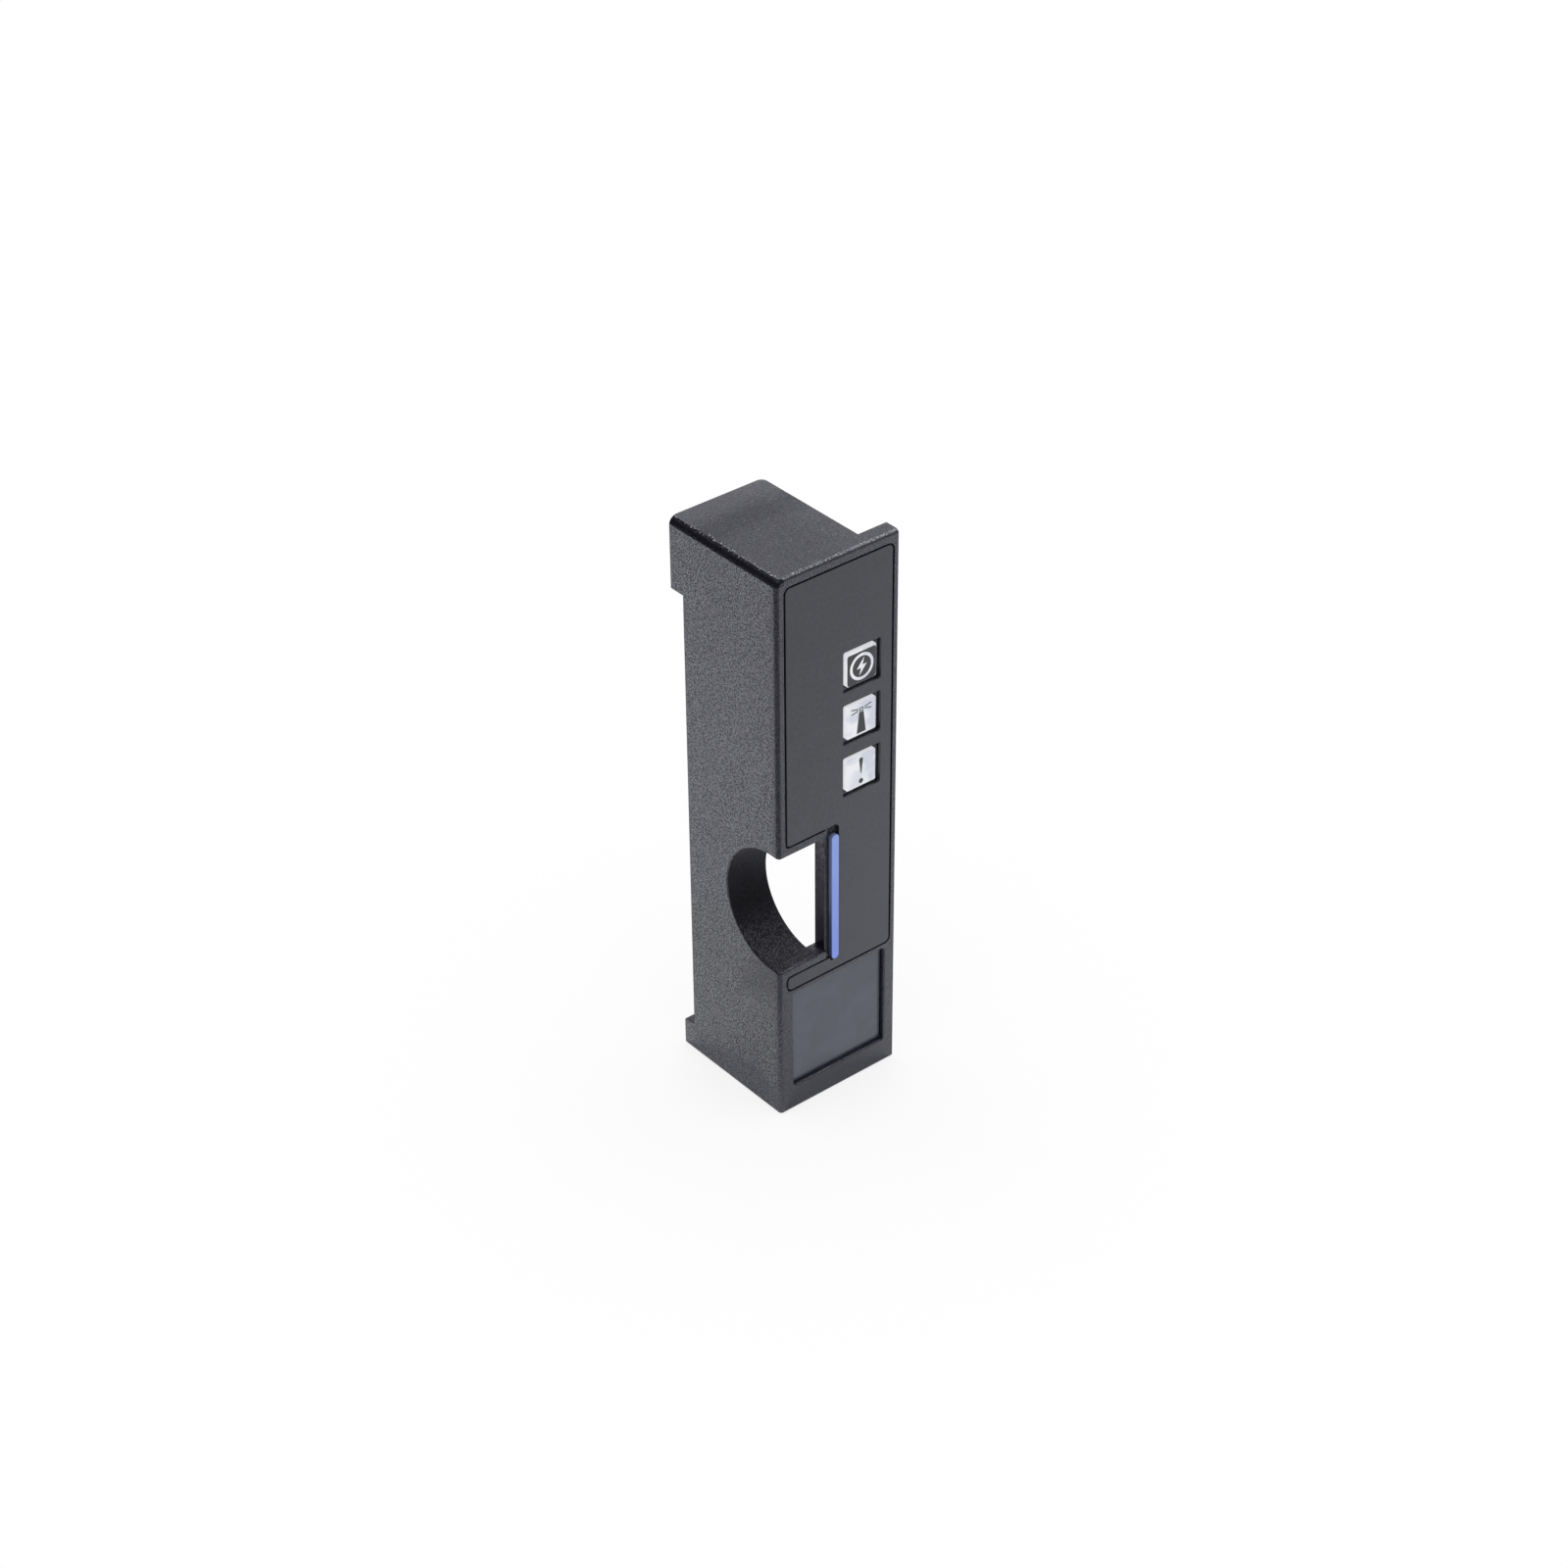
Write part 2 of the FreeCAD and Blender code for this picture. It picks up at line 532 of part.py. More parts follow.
def holding_features(body):
    """Add the socket, the catch and the gussets inside the shell."""
    socket = new_sketch(body, "XZ_Plane", "SocketProfile", f"-({DEPTH} - Sizes.socket_inset)")
    right = "(Sizes.box_width - Sizes.socket_inset)"
    roof = f"({HEIGHT} - {WALL})"
    rectangle(
        socket, f"({WALL} / 2)", f"({roof} - Sizes.socket_height - Sizes.socket_wall)",
        right, f"({HEIGHT} - {WALL} / 2)",
    )
    extrude(body, "Pad", socket, "Socket", "Sizes.socket_depth + Sizes.socket_wall")
    mouth = new_sketch(body, "XZ_Plane", "MouthProfile", f"-({DEPTH} - Sizes.socket_inset)")
    rectangle(
        mouth, f"({WALL} + Sizes.socket_wall)", f"({roof} - Sizes.socket_height)",
        f"({right} - Sizes.socket_wall)", roof,
    )
    extrude(body, "Pocket", mouth, "SocketMouth", "Sizes.socket_depth", reverse=True)

    ramp_end = f"({DEPTH} - Sizes.catch_inset)"
    crest_end = f"({ramp_end} - Sizes.catch_ramp)"
    crest_start = f"({crest_end} - Sizes.catch_flat)"
    crest = f"({WALL} + Sizes.catch_height)"
    catch = new_sketch(body, "YZ_Plane", "CatchProfile", "Sizes.catch_left")
    polygon(catch, (
        (crest_start, f"({WALL} / 2)"),
        (ramp_end, f"({WALL} / 2)"),
        (ramp_end, WALL),
        (crest_end, crest),
        (crest_start, crest),
    ))
    extrude(body, "Pad", catch, "Catch", "Sizes.catch_width")

    gusset = new_sketch(body, "XY_Plane", "GussetProfile", f"{COLLAR_TOP} + Sizes.gusset_lift")
    polygon(gusset, (
        (f"({WALL} / 2)", f"({PLATE} / 2)"),
        (f"({WALL} + Sizes.gusset_width)", f"({PLATE} / 2)"),
        (f"({WALL} + Sizes.gusset_width)", PLATE),
        (WALL, f"({PLATE} + Sizes.gusset_depth)"),
        (f"({WALL} / 2)", f"({PLATE} + Sizes.gusset_depth)"),
    ))
    first = extrude(body, "Pad", gusset, "Gusset", "Sizes.gusset_thickness")
    repeat_upright(body, first, "GussetRow", f"{GUSSETS - 1} * Sizes.gusset_pitch", GUSSETS, upward=True)


def heat_stakes(body):
    """Add the two posts that carry the holder, with their formed heads."""
    posts = new_sketch(body, "XZ_Plane", "StakeProfile", f"-{PLATE} / 2")
    heads = new_sketch(body, "XZ_Plane", "StakeHeadProfile", f"-{HOLDER_REAR}")
    for level in (STAKE_UPPER, STAKE_LOWER):
        circle(posts, WINDOW_X, level, "Sizes.stake_radius")
        circle(heads, WINDOW_X, level, "Sizes.stake_head_radius")
    extrude(body, "Pad", posts, "Stakes", f"{HOLDER_REAR} - {PLATE} / 2", reverse=True)
    extrude(body, "Pad", heads, "StakeHeads", "Sizes.stake_head_thickness", reverse=True)
    back = value_of(f"{HOLDER_REAR} + Sizes.stake_head_thickness")
    rim = 2 * math.pi * value_of("Sizes.stake_head_radius")
    round_edges(
        body, "StakeHeadRound", "Sizes.stake_head_round",
        lambda edge: lies_at(edge, "y", back) and abs(edge.Length - rim) < NEAR,
    )


def make_cover():
    """Model the moulded cover."""
    body = new_body("cover_body")
    shell_of_cover(body)
    finger_cutout(body)
    front_recesses(body)
    indicator_windows(body)
    holding_features(body)
    heat_stakes(body)
    return body


def make_overlay():
    """Model the overlay plate with its notch and its windows."""
    body = new_body("front_overlay")
    gap = "Sizes.overlay_gap"
    around = f"(Sizes.overlay_round - {gap})"
    beside = f"(Sizes.collar_round - {gap})"
    notch = f"({STRIP_RIGHT} + Sizes.strip_gap)"
    film = new_sketch(body, "XZ_Plane", "OverlayProfile")
    square_outline(film, (
        (f"({RECESS_LEFT} + {gap})", f"({RECESS_BOTTOM} + {gap})", around),
        (f"({RECESS_RIGHT} - {gap})", f"({RECESS_BOTTOM} + {gap})", around),
        (f"({RECESS_RIGHT} - {gap})", f"({RECESS_TOP} - {gap})", around),
        (f"({RECESS_LEFT} + {gap})", f"({RECESS_TOP} - {gap})", around),
        (f"({RECESS_LEFT} + {gap})", f"({COLLAR_TOP} + {gap})", beside),
        (notch, f"({COLLAR_TOP} + {gap})", "Sizes.notch_round"),
        (notch, f"({STRIP_BOTTOM} - Sizes.strip_gap)", "(Sizes.strip_width / 2)"),
        (f"({STRIP_LEFT} - Sizes.strip_gap)", f"({STRIP_BOTTOM} - Sizes.strip_gap)", None),
        (f"({STRIP_LEFT} - Sizes.strip_gap)", TONGUE_TOP, None),
        (f"({RECESS_LEFT} + {gap})", TONGUE_TOP, beside),
    ))
    extrude(body, "Pad", film, "Overlay", "Sizes.overlay_thickness", reverse=True)
    window = new_sketch(body, "XZ_Plane", "OverlayWindowProfile")
    middle_rectangle(
        window, WINDOW_X, WINDOW_Z, "Sizes.window_width", "Sizes.window_height",
        "Sizes.window_round",
    )
    first = extrude(body, "Pocket", window, "OverlayWindow", "Sizes.overlay_thickness")
    repeat_upright(body, first, "OverlayWindowRow", WINDOW_RUN, len(PIPES))
    return body


def make_strip():
    """Model the touch strip beside the cut-out."""
    body = new_body("touch_strip")
    half = "(Sizes.strip_width / 2)"
    middle = f"({STRIP_LEFT} + {half})"
    pill = new_sketch(body, "XZ_Plane", "StripProfile", "Sizes.strip_proud")
    ends = (f"({STRIP_BOTTOM} + {half})", f"({STRIP_TOP} - {half})")
    x, radius = value_of(middle), value_of(half)
    low, high = (value_of(end) for end in ends)
    normal = FreeCAD.Vector(0, 0, 1)
    lower_circle = Part.Circle(FreeCAD.Vector(x, low, 0), normal, radius)
    upper_circle = Part.Circle(FreeCAD.Vector(x, high, 0), normal, radius)
    lower = pill.addGeometry(Part.ArcOfCircle(lower_circle, math.pi, 2 * math.pi), False)
    upper = pill.addGeometry(Part.ArcOfCircle(upper_circle, 0.0, math.pi), False)
    right = pill.addGeometry(Part.LineSegment(
        FreeCAD.Vector(x + radius, low, 0), FreeCAD.Vector(x + radius, high, 0)), False)
    left = pill.addGeometry(Part.LineSegment(
        FreeCAD.Vector(x - radius, high, 0), FreeCAD.Vector(x - radius, low, 0)), False)
    pill.addConstraint(Sketcher.Constraint("Tangent", lower, 2, right, 1))
    pill.addConstraint(Sketcher.Constraint("Tangent", right, 2, upper, 1))
    pill.addConstraint(Sketcher.Constraint("Tangent", upper, 2, left, 1))
    pill.addConstraint(Sketcher.Constraint("Tangent", left, 2, lower, 1))
    pill.addConstraint(Sketcher.Constraint("Vertical", right))
    bind(pill, Sketcher.Constraint("Radius", lower, radius), half)
    hold(pill, "DistanceX", lower, 3, middle)
    hold(pill, "DistanceY", lower, 3, ends[0])
    hold(pill, "DistanceY", upper, 3, ends[1])
    extrude(body, "Pad", pill, "Strip", "Sizes.strip_proud + Sizes.overlay_thickness", reverse=True)
    front = -value_of("Sizes.strip_proud")
    round_edges(body, "StripRound", "Sizes.strip_round", lambda edge: lies_at(edge, "y", front))
    return body


def make_pane():
    """Model the smoked pane in front of the display."""
    body = new_body("display_window")
    gap = "Sizes.pane_gap"
    pane = new_sketch(body, "XZ_Plane", "PaneProfile", "-Sizes.display_sink")
    rectangle(
        pane,
        f"(Sizes.display_left + {gap})",
        f"(Sizes.display_bottom + {gap})",
        f"({DISPLAY_RIGHT} - {gap})",
        f"({DISPLAY_TOP} - {gap})",
        f"(Sizes.display_round - {gap})",
    )
    extrude(body, "Pad", pane, "Pane", "Sizes.pane_thickness", reverse=True)
    return body


def make_pipe(label, place):
    """Model one light pipe about its own axis and stand it in its window."""
    body = new_body(
        label,
        f"{SHIFT_X} + {WINDOW_X}",
        SHIFT_Y,
        f"{WINDOW_Z} - {place} * {WINDOW_PITCH}",
    )
    head = new_sketch(body, "XZ_Plane", "HeadProfile", "-Sizes.pipe_sink")
    middle_rectangle(head, "0", "0", "Sizes.pipe_width", "Sizes.pipe_height", "Sizes.pipe_round")
    reach = f"{PLATE} + Sizes.flange_thickness - Sizes.pipe_sink"
    extrude(body, "Pad", head, "Head", reach, reverse=True)
    flange = new_sketch(body, "XZ_Plane", "FlangeProfile", f"-{PLATE}")
    middle_rectangle(flange, "0", "0", FLANGE_WIDTH, FLANGE_HEIGHT, "Sizes.window_round")
    extrude(body, "Pad", flange, "Flange", "Sizes.flange_thickness", reverse=True)
    rod = new_sketch(body, "XZ_Plane", "RodProfile", f"-{PLATE} - Sizes.flange_thickness / 2")
    middle_rectangle(rod, "0", "0", "Sizes.rod_side", "Sizes.rod_side", "Sizes.rod_round")
    extrude(body, "Pad", rod, "Rod", "Sizes.rod_length + Sizes.flange_thickness / 2", reverse=True)
    return body


def make_holder():
    """Model the holder that clamps the light pipes against the plate."""
    body = new_body("light_pipe_holder")
    side = "(Sizes.flange_gap + Sizes.holder_side)"
    low = f"({WINDOW_Z} - {WINDOW_RUN} - {FLANGE_HEIGHT} / 2 - Sizes.holder_lug)"
    high = f"({WINDOW_Z} + {FLANGE_HEIGHT} / 2 + Sizes.holder_lug)"
    slab = new_sketch(body, "XZ_Plane", "HolderProfile", f"-{PLATE}")
    rectangle(
        slab,
        f"({WINDOW_X} - {FLANGE_WIDTH} / 2 - {side})", low,
        f"({WINDOW_X} + {FLANGE_WIDTH} / 2 + {side})", high,
        "Sizes.holder_round",
    )
    extrude(body, "Pad", slab, "Slab", "Sizes.holder_thickness", reverse=True)
    bed = new_sketch(body, "XZ_Plane", "FlangeBedProfile", f"-{PLATE}")
    middle_rectangle(
        bed, WINDOW_X, WINDOW_Z,
        f"({FLANGE_WIDTH} + 2 * Sizes.flange_gap)",
        f"({FLANGE_HEIGHT} + 2 * Sizes.flange_gap)",
        "Sizes.window_round",
    )
    first_bed = extrude(body, "Pocket", bed, "FlangeBed", "Sizes.flange_thickness")
    repeat_upright(body, first_bed, "FlangeBedRow", WINDOW_RUN, len(PIPES))
    bore = new_sketch(body, "XZ_Plane", "RodHoleProfile", f"-{PLATE}")
    rod_hole = "(Sizes.rod_side + 2 * Sizes.rod_gap)"
    middle_rectangle(bore, WINDOW_X, WINDOW_Z, rod_hole, rod_hole, "Sizes.rod_round")
    first_bore = extrude(body, "Pocket", bore, "RodHole", "Sizes.holder_thickness + Sizes.cut_over")
    repeat_upright(body, first_bore, "RodHoleRow", WINDOW_RUN, len(PIPES))
    eyes = new_sketch(body, "XZ_Plane", "StakeHoleProfile", f"-{PLATE}")
    for level in (STAKE_UPPER, STAKE_LOWER):
        circle(eyes, WINDOW_X, level, "(Sizes.stake_radius + Sizes.stake_gap)")
    extrude(body, "Pocket", eyes, "StakeHoles", "Sizes.holder_thickness + Sizes.cut_over")
    return body


def write_step(bodies):
    """Check every object, then write one file for each piece."""
    doc.recompute()
    for item in doc.Objects:
        if "Invalid" in item.State or "Error" in item.State:
            raise RuntimeError(f"{item.Name} did not solve: {item.State}")
    os.makedirs("parts", exist_ok=True)
    for body in bodies:
        shape = body.Shape
        if shape.isNull() or not shape.isValid():
            raise RuntimeError(f"{body.Label} has no sound shape")
        shape.exportStep(f"parts/{body.Label}.step")


pieces = [make_cover(), make_overlay(), make_strip(), make_pane(), make_holder()]
pieces += [make_pipe(label, place) for place, label in enumerate(PIPES)]
write_step(pieces)
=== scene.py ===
"""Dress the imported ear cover: fine edges, finishes, symbols, studio and camera.

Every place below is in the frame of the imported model: x runs right, y runs back and
z runs up from the middle of the foot. Sizes are written in millimetres and turned
into metres where a mesh is made.
"""

import logging
import math
from abc import ABC, abstractmethod
from dataclasses import dataclass
from enum import Enum
from functools import cached_property
from typing import Any, Callable, Iterable, Mapping, Optional, Sequence, Union

import bmesh
import bpy
from mathutils import Matrix, Vector


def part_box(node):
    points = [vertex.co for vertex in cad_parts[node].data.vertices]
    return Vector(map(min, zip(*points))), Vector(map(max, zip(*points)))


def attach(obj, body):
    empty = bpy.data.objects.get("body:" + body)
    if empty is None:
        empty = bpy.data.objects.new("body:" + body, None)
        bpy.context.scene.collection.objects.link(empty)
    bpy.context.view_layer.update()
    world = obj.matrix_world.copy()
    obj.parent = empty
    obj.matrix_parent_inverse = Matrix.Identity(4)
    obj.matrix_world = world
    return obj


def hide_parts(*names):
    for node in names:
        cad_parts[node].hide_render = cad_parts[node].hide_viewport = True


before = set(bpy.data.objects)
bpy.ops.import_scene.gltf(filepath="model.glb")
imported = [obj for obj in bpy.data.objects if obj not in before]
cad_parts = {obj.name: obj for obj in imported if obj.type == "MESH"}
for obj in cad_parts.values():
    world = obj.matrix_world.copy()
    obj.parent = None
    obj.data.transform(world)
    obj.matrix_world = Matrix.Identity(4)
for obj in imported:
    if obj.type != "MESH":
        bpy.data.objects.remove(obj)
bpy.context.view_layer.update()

LOG = logging.getLogger("ear_cover")
MM = 0.001
BODY = "root"
MOULDED_EDGE = 0.08
SHEET_EDGE = 0.06
STRIP_EDGE = 0.03
NOISE_MEAN = 0.5
ROOM_REACH = 0.28
BOX_REACH = 0.40
CARD_LIFT = 0.0004
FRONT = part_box("front_overlay")[0].y / MM
STRIP_LOW, STRIP_HIGH = (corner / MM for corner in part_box("touch_strip"))
PIPE_MIDDLE = sum(corner.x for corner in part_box("identify_light_pipe")) / 2 / MM

Colour = tuple[float, float, float]
Point = tuple[float, float]
Place = tuple[float, float, float]


class Slot(Enum):
    """Material slots of the record."""

    COVER = "cover_plastic"
    OVERLAY = "overlay_sheet"
    TOUCH = "touch_blue"
    PANE = "smoked_pane"
    HOLDER = "holder_plastic"
    CLEAR = "clear_plastic"


class Symbol(Enum):
    """Signs that the three light pipes carry, from the top down."""

    POWER = "power"
    IDENTIFY = "identify"
    FAULT = "fault"


class Signal:
    """An output socket of a node, with arithmetic that adds Math nodes."""

    def __init__(self, tree: "Tree", socket: Any) -> None:
        """Keep the socket together with the tree that it belongs to."""
        self.tree = tree
        self.socket = socket

    def peer(self, name: str) -> "Signal":
        """Return another output of the same node."""
        return Signal(self.tree, self.socket.node.outputs[name])

    def _math(self, operation: str, first: "Value", second: "Value" = 0.0) -> "Signal":
        """Add a Math node and return its result."""
        return self.tree.node("ShaderNodeMath", {"operation": operation}, {0: first, 1: second})

    def __add__(self, other: "Value") -> "Signal":
        """Return self + other."""
        return self._math("ADD", self, other)

    def __radd__(self, other: "Value") -> "Signal":
        """Return other + self."""
        return self._math("ADD", other, self)

    def __sub__(self, other: "Value") -> "Signal":
        """Return self - other."""
        return self._math("SUBTRACT", self, other)

    def __rsub__(self, other: "Value") -> "Signal":
        """Return other - self."""
        return self._math("SUBTRACT", other, self)

    def __mul__(self, other: "Value") -> "Signal":
        """Return self * other."""
        return self._math("MULTIPLY", self, other)

    def __rmul__(self, other: "Value") -> "Signal":
        """Return other * self."""
        return self._math("MULTIPLY", other, self)

    def __pow__(self, other: "Value") -> "Signal":
        """Return self ** other."""
        return self._math("POWER", self, other)

    def greatest(self, other: "Value") -> "Signal":
        """Return the greater of self and other."""
        return self._math("MAXIMUM", self, other)

    def cosine(self) -> "Signal":
        """Return the cosine of an angle in radians."""
        return self._math("COSINE", self)

    def sine(self) -> "Signal":
        """Return the sine of an angle in radians."""
        return self._math("SINE", self)


Value = Union[Signal, float, int, Sequence[float]]


@dataclass(frozen=True)
class Clouds:
    """Cloudy noise.

    Attributes:
        size: size of the clouds in millimetres.
        detail: octaves of finer noise.
        warp: how far the clouds are pulled out of shape.
        shift: offset that sets this noise apart from others.
    """

    size: float
    detail: float = 2.0
    warp: float = 0.0
    shift: Place = (0.0, 0.0, 0.0)


@dataclass(frozen=True)
class Specks:
    """Sparse round specks.

    Attributes:
        spacing: size of the cells that may hold a speck, in millimetres.
        radius: radius of a speck in millimetres.
        share: part of the cells that hold one.
        core: part of the radius inside which the speck is solid.
        choice: width of the step between cells with and without a speck.
    """

    spacing: float
    radius: float
    share: float
    core: float = 0.6
    choice: float = 0.01


class Tree:
    """A node tree that is filled by expressions."""

    def __init__(self, tree: bpy.types.NodeTree) -> None:
        """Take over a node tree and empty it."""
        self.tree = tree
        tree.nodes.clear()

    def node(
        self,
        kind: str,
        settings: Optional[Mapping[str, Any]] = None,
        sockets: Optional[Mapping[Union[str, int], Any]] = None,
        output: Union[str, int] = 0,
    ) -> Signal:
        """Add any node.

        Args:
            kind: Blender's name for the type of node.
            settings: properties of the node, which are set first.
            sockets: values or signals for the inputs, by name or number.
            output: the output that the caller wants.

        Returns:
            The chosen output.
        """
        made = self.tree.nodes.new(kind)
        for name, value in (settings or {}).items():
            setattr(made, name, value)
        for name, value in (sockets or {}).items():
            if isinstance(value, Signal):
                self.tree.links.new(value.socket, made.inputs[name])
            else:
                made.inputs[name].default_value = value
        return Signal(self, made.outputs[output] if made.outputs else None)

    def join(self, x: Value, y: Value, z: Value) -> Signal:
        """Return a vector made of three numbers."""
        return self.node("ShaderNodeCombineXYZ", None, {0: x, 1: y, 2: z})

    def mix(self, factor: Value, first: Union[Signal, Colour],
            second: Union[Signal, Colour]) -> Signal:
        """Return a colour between two colours."""
        # Inputs 6 and 7 and output 2 are the colour sockets of the node.
        ends = [value if isinstance(value, Signal) else (*value, 1.0) for value in (first, second)]
        return self.node(
            "ShaderNodeMix", {"data_type": "RGBA"}, {0: factor, 6: ends[0], 7: ends[1]}, 2)


class SurfaceTree(Tree):
    """The node tree of one material, on Object coordinates in millimetres."""

    def __init__(self, name: str) -> None:
        """Make the material with an empty tree.

        Args:
            name: name of the material.
        """
        self.material = bpy.data.materials.new(name)
        self.material.use_nodes = True
        super().__init__(self.material.node_tree)

    @cached_property
    def place(self) -> Signal:
        """Return the Object coordinates in millimetres, made on first use."""
        metres = self.node("ShaderNodeTexCoord", output="Object")
        return self.node(
            "ShaderNodeVectorMath", {"operation": "SCALE"}, {0: metres, "Scale": 1.0 / MM})

    @cached_property
    def axes(self) -> tuple[Signal, Signal, Signal]:
        """Return x, y and z of the coordinates."""
        x = self.node("ShaderNodeSeparateXYZ", None, {0: self.place})
        return x, x.peer("Y"), x.peer("Z")

    def rise(self, value: Signal, start: float, end: float) -> Signal:
        """Return a smooth step from 0 at start to 1 at end."""
        return self.node(
            "ShaderNodeMapRange",
            {"interpolation_type": "SMOOTHSTEP"},
            {"Value": value, "From Min": start, "From Max": end},
        )

    def band(self, value: Signal, start: Point, end: Point) -> Signal:
        """Return a mask that rises over the span start and falls over the span end."""
        return self.rise(value, *start) * (1.0 - self.rise(value, *end))

    def noise(self, clouds: Clouds) -> Signal:
        """Return cloudy noise from 0 to 1.

        Args:
            clouds: sizes of the noise.

        Returns:
            The value of the noise.
        """
        at = self.node(
            "ShaderNodeVectorMath", {"operation": "ADD"}, {0: self.place, 1: clouds.shift})
        return self.node(
            "ShaderNodeTexNoise", None,
            {"Vector": at, "Scale": 1.0 / clouds.size, "Detail": clouds.detail,
             "Distortion": clouds.warp},
        )

    def pebbles(self, size: float, smoothness: float) -> Signal:
        """Return the distance to the nearest of scattered points, smoothed.

        Args:
            size: mean distance of the points in millimetres.
            smoothness: how far neighbouring pebbles run into each other.

        Returns:
            The distance in parts of the mean distance.
        """
        return self.node(
            "ShaderNodeTexVoronoi", {"feature": "SMOOTH_F1"},
            {"Vector": self.place, "Scale": 1.0 / size, "Smoothness": smoothness},
            "Distance",
        )

    def specks(self, kind: Specks) -> Signal:
        """Return a mask of sparse round specks.

        Args:
            kind: sizes of the specks.

        Returns:
            1 on a speck and 0 elsewhere.
        """
        near = self.node(
            "ShaderNodeTexVoronoi", {"feature": "F1"},
            {"Vector": self.place, "Scale": 1.0 / kind.spacing}, "Distance",
        )
        luck = self.node("ShaderNodeSeparateColor", None, {0: near.peer("Color")})
        least = 1.0 - kind.share
        reach = kind.radius / kind.spacing
        chosen = self.rise(luck, least, least + kind.choice)
        return chosen * (1.0 - self.rise(near, kind.core * reach, reach))

    def bump(self, height: Signal, depth: float) -> Signal:
        """Return a normal for a height from 0 to 1 over a depth in millimetres."""
        return self.node(
            "ShaderNodeBump", None, {"Strength": 1.0, "Distance": depth * MM, "Height": height})

    def finish(self, **sockets: Any) -> bpy.types.Material:
        """Close the tree with a Principled shader.

        Args:
            sockets: inputs of the shader, with _ for each space in a name.

        Returns:
            The finished material.
        """
        named = {}
        for key, value in sockets.items():
            colour = isinstance(value, tuple)
            named[key.replace("_", " ")] = (*value, 1.0) if colour else value
        shader = self.node("ShaderNodeBsdfPrincipled", None, named)
        self.node("ShaderNodeOutputMaterial", None, {"Surface": shader})
        return self.material


class Finish(ABC):
    """A surface finish that becomes one material."""

    _made: dict[str, bpy.types.Material] = {}

    @abstractmethod
    def paint(self, tree: SurfaceTree) -> bpy.types.Material:
        """Fill the node tree and return its material.

        Args:
            tree: tree of the material, still empty.

        Returns:
            The material.
        """

    def material(self) -> bpy.types.Material:
        """Return the material of this finish, made on first use.

        Returns:
            The material.
        """
        name = type(self).__name__
        if name not in self._made:
            self._made[name] = self.paint(SurfaceTree(name))
        return self._made[name]


